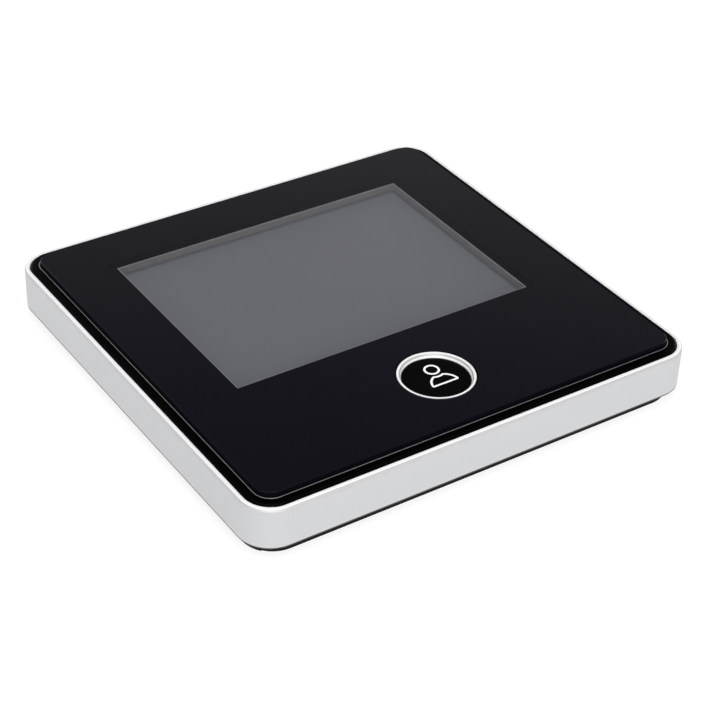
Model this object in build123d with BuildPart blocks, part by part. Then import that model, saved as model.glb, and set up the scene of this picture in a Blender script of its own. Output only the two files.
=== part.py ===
from build123d import *
from math import atan, degrees
import os

os.makedirs("parts", exist_ok=True)

# Indoor unit of a peephole door camera, lying on its back. Millimetres.
# X runs across the unit, Y towards its upper edge and Z out of its face.

# Whole unit
unit_width = 125.0
unit_height = 121.0
unit_thickness = 16.0
corner_radius = 8.2

# Metal frame round the edge
frame_lift = 3.2  # lower edge above the rear face
frame_height = 11.1
frame_wall = 1.4
lip_radius = 0.9
lip_inner_radius = 0.3
foot_radius = 0.25
ledge_lift = 2.5  # inner ledge above the frame's lower edge
ledge_thickness = 1.0
ledge_width = 1.6
frame_gap = 0.1  # mouldings inside the metal frame

# Front panel and its adhesive sheet
panel_inset = 4.12
panel_thickness = 1.8
panel_chamfer = 0.15
panel_gap = 0.12
adhesive_thickness = 0.2

# Window for the screen
window_side_margin = 20.3  # window's edge from the unit's side
window_upper_margin = 18.75
window_button_gap = 10.8  # window above the button's hole in the panel
window_radius = 0.4

# Front bezel
bezel_stand = 1.35  # the panel's face above the bezel's ring
shoulder_radius = 0.7
bezel_edge_radius = 0.2
skirt_wall = 1.7
deck_thickness = 1.2
gusset_thickness = 1.0
gusset_height = 3.6
screen_rib_width = 1.0
screen_rib_height = 2.4
screen_rib_gap = 0.15

# Screen
gasket_width = 1.5
gasket_gap = 0.1
screen_depth = 1.9  # glass below the panel's back
glass_thickness = 1.5
backlight_thickness = 2.1
tray_thickness = 0.3
tray_wall = 0.4
tray_lip = 0.2  # rim of the tray below the top of the glass
screen_side_margin = 3.8
screen_lower_margin = 3.6
screen_upper_margin = 3.4
screen_gap = 0.15
ribbon_width = 22.0
ribbon_thickness = 0.2
ribbon_offset = 14.0
ribbon_notch_gap = 1.0
ribbon_loop = 1.4
ribbon_tail = 12.0

# Main board
board_side_margin = 10.0  # board's edge from the unit's side
board_upper_margin = 16.5
board_boss_gap = 1.95  # board above the boss of the left screw
board_thickness = 1.2
board_lift = 5.4
board_corner_radius = 1.5
board_post_radius = 2.4
board_post_side = 3.1  # posts from the board's side
board_post_end = 6.0  # posts from the board's upper and lower edges
board_hole_radius = 1.15

# Parts on the main board
processor_size = 14.0
processor_thickness = 1.2
processor_x = -14.0
processor_rise = 20.0  # above the board's lower edge
memory_width = 11.0
memory_length = 8.0
memory_thickness = 1.0
memory_x = 6.0
memory_rise = 22.0
coil_size = 5.0
coil_thickness = 1.2
coil_gap = 4.0
coil_side = 16.5  # from the board's left edge
coil_rise = 14.0
capacitor_length = 3.2
capacitor_width = 1.6
capacitor_thickness = 0.9
capacitor_end_gap = 1.8
capacitor_side_gap = 3.4
capacitor_rows = 2
capacitor_columns = 4
capacitor_side = 18.5  # from the board's right edge
capacitor_rise = 28.0
ribbon_socket_depth = 4.5
ribbon_socket_height = 1.1
ribbon_socket_side = 1.5  # socket wider than the ribbon, each side
chip_chamfer = 0.15

# Recess in the back for the wall plate, and the camera's socket in it
recess_width = 56.0
recess_height = 40.0
recess_upper_margin = 18.5  # recess below the unit's upper edge
recess_depth = 3.0
recess_wall = 1.4
recess_radius = 2.0
camera_socket_width = 16.0
camera_socket_length = 5.6
camera_socket_height = 2.0
camera_socket_rise = 8.0  # above the recess's centre
camera_slot_gap = 1.2
socket_wall = 0.8

# Slots for the wall plate's two hooks
hook_slot_width = 5.0
hook_slot_height = 12.0
hook_slot_side = 9.0  # middle of the slots from the recess's side
hook_slot_drop = 10.0  # middle of the slots below the recess's upper edge
pocket_wall = 1.0
pocket_height = 2.6

# Rear cover
rear_inset = 2.1
rear_radius = 7.9
rear_wall = 2.2
rear_side_wall = 1.5
rear_edge_radius = 0.6
rib_width = 1.0
rib_height = 1.5
rib_rise = 7.0  # ribs from the recess's centre line

# Battery bay for three AAA cells
cell_spacing = 0.6
cell_nub_radius = 1.9
cell_nub_length = 1.0
cell_edge = 0.5
cell_count = 3
bay_left = 5.3  # inside of the bay from the unit's left side
bay_foot = 4.85  # inside of the bay from the unit's lower side
bay_button_gap = 0.5  # bay's wall from the button's board
bay_screen_gap = 0.6  # bay's wall below the screen
bay_wall = 1.2
bay_corner_radius = 3.5
bay_top_gap = 0.3
cell_gap = 0.25  # cells above the door

# Battery contacts
contact_thickness = 0.4
contact_width = 6.0
contact_height = 8.4
spring_room = 1.7
spring_wire_radius = 0.2
spring_wire_sides = 6
spring_root_radius = 3.4
spring_tip_radius = 2.4
spring_turns = 2

# Battery door
door_thickness = 1.5
door_recess = 0.1
door_side_gap = 0.2
door_end_gap = 0.4
tongue_width = 1.0
tongue_thickness = 0.7
tongue_gap = 0.15
grip_count = 5
grip_pitch = 2.0
grip_width = 0.9
grip_length = 14.0
grip_depth = 0.4
grip_offset = 12.0  # middle of the grip from the door's outer end

# Button
button_margin = 21.95  # centre above the unit's lower side
ring_radius = 9.65
ring_rim = 0.7
ring_slope = 0.5
ring_depth = 0.95  # cap below the rim of the ring
ring_gap = 0.25  # ring inside the panel's hole
ring_edge = 0.12
cap_gap = 0.08
cap_wall = 1.2
cap_roof = 1.4
cap_edge_radius = 0.25
lug_width = 6.0
lug_reach = 1.6
lug_thickness = 0.8
lug_gap = 0.3
stem_radius = 1.9
deck_bore_gap = 0.25

# Push switch on its own small board
switch_size = 6.0
switch_height = 3.5
switch_corner_radius = 0.3
plunger_radius = 1.75
plunger_gap = 0.06
plunger_stand = 0.9
plunger_depth = 1.6
plunger_hole_depth = 2.4
button_board_width = 17.0
button_board_height = 24.0
button_board_lift = 4.0
button_post_radius = 2.2
button_post_end = 2.5  # posts from the board's upper and lower edges
lead_width = 6.0
lead_offset = -5.0
lead_thickness = 0.3
lead_lap = 3.0

# Speaker
speaker_side_margin = 3.0
speaker_rise = 22.5  # centre above the unit's lower side
speaker_radius = 14.0
speaker_seat = 0.4
speaker_height = 3.6
speaker_rim = 1.6
cone_gap = 0.2
cone_thickness = 0.5
cone_dome_radius = 5.0
cone_rise = 1.6
magnet_radius = 8.0
magnet_height = 2.0
speaker_rib = 1.2
speaker_rib_height = 2.4
speaker_rib_gap = 0.2
grille_count = 5
grille_pitch = 3.6
grille_width = 1.4
grille_reach_share = 0.72  # of the speaker's radius

# Screws
screw_radius = 0.98
screw_hole_gap = 0.17
screw_head_radius = 1.9
screw_head_height = 1.3
screw_head_gap = 0.25
screw_head_sink = 0.5
screw_head_edge = 0.35
pilot_gap = 0.02
case_screw_length = 8.2
case_pilot_depth = 4.6
case_boss_radius = 2.8
case_screw_side = 8.5  # screws from the unit's left and right sides
case_screw_end = 10.25  # screws from the unit's upper and lower sides
foot_screw_gap = 0.2  # boss of the middle screw below the button's board
side_screw_gap = 1.9  # boss of the left screw above the bay
board_screw_length = 4.0
board_pilot_depth = 3.6
button_screw_length = 2.6

# Heights that follow from the sizes above
frame_top = frame_lift + frame_height
ledge_foot = frame_lift + ledge_lift
ledge_top = ledge_foot + ledge_thickness
bezel_top = unit_thickness - bezel_stand
panel_back = unit_thickness - panel_thickness
deck_top = panel_back - adhesive_thickness
deck_underside = deck_top - deck_thickness
screen_top = panel_back - screen_depth
glass_back = screen_top - glass_thickness
tray_floor = glass_back - backlight_thickness
tray_back = tray_floor - tray_thickness
board_top = board_lift + board_thickness
boss_seat = ledge_foot + ledge_thickness / 2
cap_top = unit_thickness - ring_depth
lug_top = deck_underside - lug_gap
door_top = door_recess + door_thickness
bay_top = deck_underside - bay_top_gap
button_board_top = button_board_lift + board_thickness
switch_top = button_board_top + switch_height
plunger_top = switch_top + plunger_stand
recess_roof = recess_depth + recess_wall
rib_foot = deck_underside - screen_rib_height
gusset_foot = deck_underside - gusset_height

# Outlines and places that follow from the sizes above
bezel_inset = frame_wall + frame_gap
bezel_width = unit_width - 2 * bezel_inset
bezel_height = unit_height - 2 * bezel_inset
bezel_radius = corner_radius - bezel_inset
panel_width = unit_width - 2 * panel_inset
panel_height = unit_height - 2 * panel_inset
panel_radius = corner_radius - panel_inset
seat_width = panel_width + 2 * panel_gap
seat_height = panel_height + 2 * panel_gap
seat_radius = panel_radius + panel_gap
rear_width = unit_width - 2 * rear_inset
rear_height = unit_height - 2 * rear_inset
ring_bore = ring_radius - ring_rim - ring_slope
cap_radius = ring_bore - cap_gap
panel_hole_radius = ring_radius + ring_gap
deck_bore_radius = ring_bore + deck_bore_gap
button_drop = unit_height / 2 - button_margin
button_place = (0, -button_drop)
button_post_spread = button_board_height / 2 - button_post_end
button_post_places = [(0, -button_drop - button_post_spread), (0, -button_drop + button_post_spread)]

window_lower_margin = button_margin + panel_hole_radius + window_button_gap
window_width = unit_width - 2 * window_side_margin
window_height = unit_height - window_upper_margin - window_lower_margin
window_rise = (window_lower_margin - window_upper_margin) / 2
opening_width = window_width + 2 * (gasket_width + gasket_gap)
opening_height = window_height + 2 * (gasket_width + gasket_gap)
screen_width = window_width + 2 * screen_side_margin
screen_height = window_height + screen_lower_margin + screen_upper_margin
screen_rise = window_rise + (screen_upper_margin - screen_lower_margin) / 2
screen_foot = screen_rise - screen_height / 2

# The bay fills the corner between the sides, the screen and the button's board
bay_x0 = -unit_width / 2 + bay_left
bay_x1 = -button_board_width / 2 - bay_button_gap - bay_wall
bay_y0 = -unit_height / 2 + bay_foot
bay_y1 = screen_foot - bay_screen_gap - bay_wall
bay_x = (bay_x0 + bay_x1) / 2
bay_y = (bay_y0 + bay_y1) / 2
bay_length = bay_x1 - bay_x0
bay_height = bay_y1 - bay_y0
cell_length = bay_length - 2 * contact_thickness - spring_room
cell_radius = (bay_height / cell_count - cell_spacing) / 2
cell_axis = door_top + cell_gap + cell_radius
cell_places = [bay_y0 + (index + 1 / 2) * bay_height / cell_count for index in range(cell_count)]

screw_hole_radius = screw_radius + screw_hole_gap
pilot_radius = screw_radius + pilot_gap
head_hole_radius = screw_head_radius + screw_head_gap
case_screw_seat = screw_head_sink + screw_head_height
case_screw_x = unit_width / 2 - case_screw_side
case_screw_y = unit_height / 2 - case_screw_end
left_screw_y = bay_y1 + bay_wall + case_boss_radius + side_screw_gap
foot_screw_y = -button_drop - button_board_height / 2 - case_boss_radius - foot_screw_gap
side_screw_places = [
    (-case_screw_x, case_screw_y),
    (case_screw_x, case_screw_y),
    (case_screw_x, -case_screw_y),
    (-case_screw_x, left_screw_y),
]
case_screw_places = side_screw_places + [(0, foot_screw_y)]

board_width = unit_width - 2 * board_side_margin
board_foot = left_screw_y + case_boss_radius + board_boss_gap
board_height = unit_height / 2 - board_upper_margin - board_foot
board_rise = board_foot + board_height / 2
board_post_places = [
    (side * (board_width / 2 - board_post_side), board_rise + end * (board_height / 2 - board_post_end))
    for side in (-1, 1)
    for end in (-1, 1)
]

recess_rise = unit_height / 2 - recess_upper_margin - recess_height / 2
hook_slot_places = [
    (side * (recess_width / 2 + hook_slot_side), recess_rise + recess_height / 2 - hook_slot_drop)
    for side in (-1, 1)
]
speaker_x = (button_board_width / 2 + unit_width / 2 - speaker_side_margin) / 2
speaker_y = -unit_height / 2 + speaker_rise


with BuildPart() as metal_frame:
    with BuildSketch(Plane.XY.offset(frame_lift)):
        RectangleRounded(unit_width, unit_height, corner_radius)
    extrude(amount=frame_height)
    with BuildSketch(Plane.XY.offset(frame_lift)):
        RectangleRounded(
            unit_width - 2 * frame_wall, unit_height - 2 * frame_wall, corner_radius - frame_wall
        )
    extrude(amount=frame_height, mode=Mode.SUBTRACT)
    rim = metal_frame.faces().sort_by(Axis.Z)[-1]
    fillet(rim.outer_wire().edges(), lip_radius)
    rim = metal_frame.faces().sort_by(Axis.Z)[-1]
    fillet(rim.inner_wires()[0].edges(), lip_inner_radius)
    foot = metal_frame.faces().sort_by(Axis.Z)[0]
    fillet(foot.outer_wire().edges(), foot_radius)
    # Ledge that the front and rear mouldings clamp
    with BuildSketch(Plane.XY.offset(ledge_foot)):
        RectangleRounded(
            unit_width - 2 * frame_wall, unit_height - 2 * frame_wall, corner_radius - frame_wall
        )
        RectangleRounded(
            unit_width - 2 * (frame_wall + ledge_width),
            unit_height - 2 * (frame_wall + ledge_width),
            corner_radius - frame_wall - ledge_width,
            mode=Mode.SUBTRACT,
        )
    extrude(amount=ledge_thickness)
metal_frame.part.label = "metal_frame"
export_step(metal_frame.part, "parts/metal_frame.step")


with BuildPart() as front_panel:
    with BuildSketch(Plane.XY.offset(panel_back)):
        RectangleRounded(panel_width, panel_height, panel_radius)
    extrude(amount=panel_thickness)
    chamfer(front_panel.faces().sort_by(Axis.Z)[-1].edges(), panel_chamfer)
    with BuildSketch(Plane.XY.offset(panel_back)):
        with Locations(button_place):
            Circle(panel_hole_radius)
    extrude(amount=panel_thickness, mode=Mode.SUBTRACT)
front_panel.part.label = "front_panel"
export_step(front_panel.part, "parts/front_panel.step")


with BuildPart() as panel_adhesive:
    with BuildSketch(Plane.XY.offset(deck_top)):
        RectangleRounded(panel_width, panel_height, panel_radius)
        with Locations((0, window_rise)):
            Rectangle(opening_width, opening_height, mode=Mode.SUBTRACT)
        with Locations(button_place):
            Circle(panel_hole_radius, mode=Mode.SUBTRACT)
    extrude(amount=adhesive_thickness)
panel_adhesive.part.label = "panel_adhesive"
export_step(panel_adhesive.part, "parts/panel_adhesive.step")


with BuildPart() as front_bezel:
    with BuildSketch(Plane.XY.offset(ledge_top)):
        RectangleRounded(bezel_width, bezel_height, bezel_radius)
    extrude(amount=bezel_top - ledge_top)
    fillet(front_bezel.faces().sort_by(Axis.Z)[-1].edges(), shoulder_radius)
    # Seat of the panel
    with BuildSketch(Plane.XY.offset(deck_top)):
        RectangleRounded(seat_width, seat_height, seat_radius)
    extrude(amount=bezel_top - deck_top, mode=Mode.SUBTRACT)
    ring_top = front_bezel.faces().filter_by(Axis.Z).sort_by(Axis.Z)[-1]
    fillet(ring_top.inner_wires()[0].edges(), bezel_edge_radius)
    # Hollow behind the deck
    with BuildSketch(Plane.XY.offset(ledge_top)):
        RectangleRounded(
            bezel_width - 2 * skirt_wall, bezel_height - 2 * skirt_wall, bezel_radius - skirt_wall
        )
    extrude(amount=deck_underside - ledge_top, mode=Mode.SUBTRACT)
    # Openings for the screen and the button
    with BuildSketch(Plane.XY.offset(deck_underside)):
        with Locations((0, window_rise)):
            Rectangle(opening_width, opening_height)
        with Locations(button_place):
            Circle(deck_bore_radius)
    extrude(amount=deck_thickness, mode=Mode.SUBTRACT)
    # Ribs that hold the screen's tray at its sides and upper edge
    tray_room_width = screen_width + 2 * screen_rib_gap
    tray_room_top = screen_rise + screen_height / 2 + screen_rib_gap
    rib_length = screen_height - screen_rib_width
    with BuildSketch(Plane.XY.offset(rib_foot)):
        with Locations((0, tray_room_top + screen_rib_width)):
            Rectangle(
                tray_room_width + 2 * screen_rib_width, rib_length, align=(Align.CENTER, Align.MAX)
            )
        with Locations((0, tray_room_top)):
            Rectangle(tray_room_width, rib_length, align=(Align.CENTER, Align.MAX), mode=Mode.SUBTRACT)
    extrude(amount=screen_rib_height)
    # Gussets between the screw bosses and the skirt
    for place in side_screw_places:
        toward_skirt = Align.MIN if place[0] > 0 else Align.MAX
        with BuildSketch(Plane.XY.offset(gusset_foot)):
            with Locations(place):
                Rectangle(
                    case_screw_side - bezel_inset - skirt_wall / 2,
                    gusset_thickness,
                    align=(toward_skirt, Align.CENTER),
                )
        extrude(amount=gusset_height)
    # Screw bosses and board posts
    with BuildSketch(Plane.XY.offset(boss_seat)):
        with Locations(*case_screw_places):
            Circle(case_boss_radius)
    extrude(amount=deck_underside - boss_seat)
    with BuildSketch(Plane.XY.offset(board_top)):
        with Locations(*board_post_places):
            Circle(board_post_radius)
    extrude(amount=deck_underside - board_top)
    with BuildSketch(Plane.XY.offset(boss_seat)):
        with Locations(*case_screw_places):
            Circle(pilot_radius)
    extrude(amount=case_pilot_depth, mode=Mode.SUBTRACT)
    with BuildSketch(Plane.XY.offset(board_top)):
        with Locations(*board_post_places):
            Circle(pilot_radius)
    extrude(amount=board_pilot_depth, mode=Mode.SUBTRACT)
front_bezel.part.label = "front_bezel"
export_step(front_bezel.part, "parts/front_bezel.step")


with BuildPart() as lcd_gasket:
    with BuildSketch(Plane.XY.offset(screen_top)):
        with Locations((0, window_rise)):
            Rectangle(window_width + 2 * gasket_width, window_height + 2 * gasket_width)
            RectangleRounded(window_width, window_height, window_radius, mode=Mode.SUBTRACT)
    extrude(amount=screen_depth)
lcd_gasket.part.label = "lcd_gasket"
export_step(lcd_gasket.part, "parts/lcd_gasket.step")


with BuildPart() as lcd_glass:
    with BuildSketch(Plane.XY.offset(glass_back)):
        with Locations((0, screen_rise)):
            Rectangle(
                screen_width - 2 * (tray_wall + screen_gap), screen_height - 2 * (tray_wall + screen_gap)
            )
    extrude(amount=glass_thickness)
lcd_glass.part.label = "lcd_glass"
export_step(lcd_glass.part, "parts/lcd_glass.step")


with BuildPart() as lcd_backlight:
    with BuildSketch(Plane.XY.offset(tray_floor)):
        with Locations((0, screen_rise)):
            RectangleRounded(
                screen_width - 2 * (tray_wall + screen_gap),
                screen_height - 2 * (tray_wall + screen_gap),
                window_radius,
            )
    extrude(amount=backlight_thickness)
lcd_backlight.part.label = "lcd_backlight"
export_step(lcd_backlight.part, "parts/lcd_backlight.step")


with BuildPart() as lcd_frame:
    with BuildSketch(Plane.XY.offset(tray_back)):
        with Locations((0, screen_rise)):
            Rectangle(screen_width, screen_height)
    extrude(amount=screen_top - tray_lip - tray_back)
    with BuildSketch(Plane.XY.offset(tray_floor)):
        with Locations((0, screen_rise)):
            Rectangle(screen_width - 2 * tray_wall, screen_height - 2 * tray_wall)
    extrude(amount=screen_top, mode=Mode.SUBTRACT)
    # Notch where the ribbon leaves
    with BuildSketch(Plane.XY.offset(tray_floor)):
        with Locations((ribbon_offset, screen_foot)):
            Rectangle(ribbon_width + 2 * ribbon_notch_gap, 2 * tray_wall)
    extrude(amount=screen_top, mode=Mode.SUBTRACT)
lcd_frame.part.label = "lcd_frame"
export_step(lcd_frame.part, "parts/lcd_frame.step")


# The ribbon leaves the glass, folds under the tray and runs into its socket
ribbon_level = board_top + ribbon_socket_height / 2
ribbon_exit = glass_back - ribbon_thickness
socket_face = screen_foot + ribbon_tail
fold_y = screen_foot - ribbon_loop
with BuildPart() as lcd_ribbon:
    with BuildSketch(Plane.YZ.offset(ribbon_offset - ribbon_width / 2)):
        with BuildLine() as ribbon_path:
            FilletPolyline(
                (screen_foot + tray_wall + screen_gap - ribbon_thickness, ribbon_exit),
                (fold_y, ribbon_exit),
                (fold_y, ribbon_level),
                (socket_face, ribbon_level),
                radius=ribbon_loop / 2,
            )
        trace(ribbon_path.edges(), line_width=ribbon_thickness)
    extrude(amount=ribbon_width)
lcd_ribbon.part.label = "lcd_ribbon"
export_step(lcd_ribbon.part, "parts/lcd_ribbon.step")


with BuildPart() as main_board:
    with BuildSketch(Plane.XY.offset(board_lift)):
        with Locations((0, board_rise)):
            RectangleRounded(board_width, board_height, board_corner_radius)
        with Locations(*board_post_places):
            Circle(board_hole_radius, mode=Mode.SUBTRACT)
    extrude(amount=board_thickness)
main_board.part.label = "main_board"
export_step(main_board.part, "parts/main_board.step")


with BuildPart() as processor:
    with BuildSketch(Plane.XY.offset(board_top)):
        with Locations((processor_x, board_foot + processor_rise)):
            Rectangle(processor_size, processor_size)
    extrude(amount=processor_thickness)
    chamfer(processor.faces().sort_by(Axis.Z)[-1].edges(), chip_chamfer)
processor.part.label = "processor"
export_step(processor.part, "parts/processor.step")


with BuildPart() as memory_chip:
    with BuildSketch(Plane.XY.offset(board_top)):
        with Locations((memory_x, board_foot + memory_rise)):
            Rectangle(memory_width, memory_length)
    extrude(amount=memory_thickness)
    chamfer(memory_chip.faces().sort_by(Axis.Z)[-1].edges(), chip_chamfer)
memory_chip.part.label = "memory_chip"
export_step(memory_chip.part, "parts/memory_chip.step")


with BuildPart() as power_coils:
    with BuildSketch(Plane.XY.offset(board_top)):
        with Locations((-board_width / 2 + coil_side, board_foot + coil_rise)):
            with GridLocations(coil_size, coil_size + coil_gap, 1, 2):
                Rectangle(coil_size, coil_size)
    extrude(amount=coil_thickness)
    fillet(power_coils.edges().filter_by(Axis.Z), coil_size / 4)
power_coils.part.label = "power_coils"
export_step(power_coils.part, "parts/power_coils.step")


with BuildPart() as capacitors:
    with BuildSketch(Plane.XY.offset(board_top)):
        with Locations((board_width / 2 - capacitor_side, board_foot + capacitor_rise)):
            with GridLocations(
                capacitor_length + capacitor_end_gap,
                capacitor_width + capacitor_side_gap,
                capacitor_rows,
                capacitor_columns,
            ):
                Rectangle(capacitor_length, capacitor_width)
    extrude(amount=capacitor_thickness)
capacitors.part.label = "capacitors"
export_step(capacitors.part, "parts/capacitors.step")


with BuildPart() as ribbon_socket:
    with BuildSketch(Plane.XY.offset(board_top)):
        with Locations((ribbon_offset, socket_face + ribbon_socket_depth / 2)):
            Rectangle(ribbon_width + 2 * ribbon_socket_side, ribbon_socket_depth)
    extrude(amount=ribbon_socket_height)
ribbon_socket.part.label = "ribbon_socket"
export_step(ribbon_socket.part, "parts/ribbon_socket.step")


camera_socket_y = recess_rise + camera_socket_rise
with BuildPart() as camera_socket:
    with BuildSketch(Plane.XY.offset(board_lift - camera_socket_height)):
        with Locations((0, camera_socket_y)):
            Rectangle(camera_socket_width, camera_socket_length)
    extrude(amount=camera_socket_height)
    # Mouth that takes the camera's plug
    with BuildSketch(Plane.XY.offset(board_lift - camera_socket_height)):
        with Locations((0, camera_socket_y)):
            Rectangle(camera_socket_width - 2 * socket_wall, camera_socket_length - 2 * socket_wall)
    extrude(amount=camera_socket_height - socket_wall, mode=Mode.SUBTRACT)
camera_socket.part.label = "camera_socket"
export_step(camera_socket.part, "parts/camera_socket.step")


bay_inner_radius = bay_corner_radius - bay_wall
with BuildPart() as rear_cover:
    with BuildSketch():
        RectangleRounded(rear_width, rear_height, rear_radius)
    extrude(amount=ledge_foot)
    fillet(rear_cover.faces().sort_by(Axis.Z)[0].edges(), rear_edge_radius)
    with BuildSketch(Plane.XY.offset(rear_wall)):
        RectangleRounded(
            rear_width - 2 * rear_side_wall, rear_height - 2 * rear_side_wall, rear_radius - rear_side_wall
        )
    extrude(amount=ledge_foot - rear_wall, mode=Mode.SUBTRACT)
    # Walls of the battery bay, the wall plate's recess, the speaker's seat and the bosses
    with BuildSketch(Plane.XY.offset(rear_wall)):
        with Locations((bay_x, bay_y)):
            RectangleRounded(bay_length + 2 * bay_wall, bay_height + 2 * bay_wall, bay_corner_radius)
    extrude(amount=bay_top - rear_wall)
    with BuildSketch(Plane.XY.offset(rear_wall)):
        with Locations((0, recess_rise)):
            RectangleRounded(
                recess_width + 2 * recess_wall, recess_height + 2 * recess_wall, recess_radius + recess_wall
            )
    extrude(amount=recess_roof - rear_wall)
    with BuildSketch(Plane.XY.offset(rear_wall)):
        with Locations((speaker_x, speaker_y)):
            Circle(speaker_radius + speaker_rib_gap + speaker_rib)
            Circle(speaker_radius + speaker_rib_gap, mode=Mode.SUBTRACT)
    extrude(amount=speaker_rib_height)
    with BuildSketch(Plane.XY.offset(rear_wall)):
        with Locations(*case_screw_places):
            Circle(case_boss_radius)
    extrude(amount=boss_seat - rear_wall)
    with BuildSketch(Plane.XY.offset(rear_wall)):
        with Locations(*button_post_places):
            Circle(button_post_radius)
    extrude(amount=button_board_lift - rear_wall)
    # Pockets round the hook slots, and ribs from the recess to the side walls
    with BuildSketch(Plane.XY.offset(rear_wall)):
        with Locations(*hook_slot_places):
            Rectangle(hook_slot_width + 2 * pocket_wall, hook_slot_height + 2 * pocket_wall)
    extrude(amount=pocket_height)
    with BuildSketch(Plane.XY.offset(rear_wall)):
        with Locations((0, recess_rise - rib_rise), (0, recess_rise + rib_rise)):
            Rectangle(rear_width - rear_side_wall, rib_width)
    extrude(amount=rib_height)
    # Battery bay, open at the back, with the door's slot and grooves
    with BuildSketch():
        with Locations((bay_x, bay_y)):
            RectangleRounded(bay_length, bay_height, bay_inner_radius)
    extrude(amount=bay_top, mode=Mode.SUBTRACT)
    slot_length = rear_inset + bay_left + bay_length + bay_wall
    with BuildSketch():
        with Locations((bay_x1 + bay_wall, bay_y)):
            Rectangle(slot_length, bay_height, align=(Align.MAX, Align.CENTER))
    extrude(amount=door_top + tongue_gap, mode=Mode.SUBTRACT)
    with BuildSketch(Plane.XY.offset(door_top - tongue_thickness - tongue_gap)):
        with Locations((bay_x1 + bay_wall, bay_y)):
            Rectangle(
                slot_length, bay_height + 2 * (tongue_width + tongue_gap), align=(Align.MAX, Align.CENTER)
            )
    extrude(amount=tongue_thickness + 2 * tongue_gap, mode=Mode.SUBTRACT)
    # Wall plate's recess, the camera socket's window in it, and the hook slots
    with BuildSketch():
        with Locations((0, recess_rise)):
            RectangleRounded(recess_width, recess_height, recess_radius)
    extrude(amount=recess_depth, mode=Mode.SUBTRACT)
    with BuildSketch(Plane.XY.offset(recess_depth)):
        with Locations((0, camera_socket_y)):
            Rectangle(
                camera_socket_width + 2 * camera_slot_gap, camera_socket_length + 2 * camera_slot_gap
            )
    extrude(amount=recess_wall, mode=Mode.SUBTRACT)
    with BuildSketch():
        with Locations(*hook_slot_places):
            Rectangle(hook_slot_width, hook_slot_height)
    extrude(amount=rear_wall + pocket_height, mode=Mode.SUBTRACT)
    # Speaker grille, its slots as long as the round seat allows
    grille_reach = speaker_radius * grille_reach_share
    for index in range(grille_count):
        step = (index - (grille_count - 1) / 2) * grille_pitch
        slot_height = 2 * (grille_reach**2 - step**2) ** 0.5
        with BuildSketch():
            with Locations((speaker_x + step, speaker_y)):
                SlotOverall(slot_height, grille_width, rotation=90)
        extrude(amount=rear_wall, mode=Mode.SUBTRACT)
    # Screw holes with sunk heads
    with BuildSketch():
        with Locations(*case_screw_places):
            Circle(screw_hole_radius)
    extrude(amount=boss_seat, mode=Mode.SUBTRACT)
    with BuildSketch():
        with Locations(*case_screw_places):
            Circle(head_hole_radius)
    extrude(amount=case_screw_seat, mode=Mode.SUBTRACT)
    with BuildSketch(Plane.XY.offset(rear_wall)):
        with Locations(*button_post_places):
            Circle(pilot_radius)
    extrude(amount=button_board_lift - rear_wall, mode=Mode.SUBTRACT)
rear_cover.part.label = "rear_cover"
export_step(rear_cover.part, "parts/rear_cover.step")


door_x1 = bay_x1 + bay_wall - door_end_gap
door_height = bay_height - 2 * door_side_gap
with BuildPart() as battery_door:
    with BuildSketch(Plane.XY.offset(door_recess)):
        with Locations((door_x1, bay_y)):
            Rectangle(slot_length - door_end_gap, door_height, align=(Align.MAX, Align.CENTER))
        RectangleRounded(rear_width, rear_height, rear_radius, mode=Mode.INTERSECT)
    extrude(amount=door_thickness)
    with BuildSketch(Plane.XY.offset(door_top - tongue_thickness)):
        with Locations((door_x1, bay_y)):
            Rectangle(
                slot_length - door_end_gap, door_height + 2 * tongue_width, align=(Align.MAX, Align.CENTER)
            )
        RectangleRounded(rear_width, rear_height, rear_radius, mode=Mode.INTERSECT)
    extrude(amount=tongue_thickness)
    # Finger grip
    with BuildSketch(Plane.XY.offset(door_recess)):
        with Locations((door_x1 - slot_length + door_end_gap + grip_offset, bay_y)):
            with GridLocations(grip_pitch, grip_pitch, grip_count, 1):
                SlotOverall(grip_length, grip_width, rotation=90)
    extrude(amount=grip_depth, mode=Mode.SUBTRACT)
battery_door.part.label = "battery_door"
export_step(battery_door.part, "parts/battery_door.step")


# Cells lie side by side, every other one turned round
for index, cell_y in enumerate(cell_places):
    turned = index % 2 == 1
    negative_end = bay_x0 + contact_thickness + spring_room
    if turned:
        negative_end = bay_x1 - contact_thickness - spring_room
    pointing = (-1, 0, 0) if turned else (1, 0, 0)
    with BuildPart() as battery_cell:
        with BuildSketch(Plane(origin=(negative_end, cell_y, cell_axis), z_dir=pointing)):
            Circle(cell_radius)
        extrude(amount=cell_length - cell_nub_length)
        chamfer(battery_cell.edges().filter_by(GeomType.CIRCLE), cell_edge)
        nub_foot = battery_cell.faces().filter_by(GeomType.PLANE).sort_by(Axis.X)[0 if turned else -1]
        with BuildSketch(nub_foot):
            Circle(cell_nub_radius)
        extrude(amount=cell_nub_length)
    battery_cell.part.label = f"battery_cell_{index + 1}"
    export_step(battery_cell.part, f"parts/battery_cell_{index + 1}.step")


with BuildPart() as spring_contacts:
    for index, cell_y in enumerate(cell_places):
        plate_x = bay_x1 - contact_thickness if index % 2 == 1 else bay_x0
        with BuildSketch(Plane.YZ.offset(plate_x)):
            with Locations((cell_y, cell_axis)):
                Rectangle(contact_width, contact_height)
        extrude(amount=contact_thickness)
spring_contacts.part.label = "spring_contacts"
export_step(spring_contacts.part, "parts/spring_contacts.step")


with BuildPart() as button_contacts:
    for index, cell_y in enumerate(cell_places):
        plate_x = bay_x0 if index % 2 == 1 else bay_x1 - contact_thickness
        with BuildSketch(Plane.YZ.offset(plate_x)):
            with Locations((cell_y, cell_axis)):
                Rectangle(contact_width, contact_height)
        extrude(amount=contact_thickness)
button_contacts.part.label = "button_contacts"
export_step(button_contacts.part, "parts/button_contacts.step")


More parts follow.
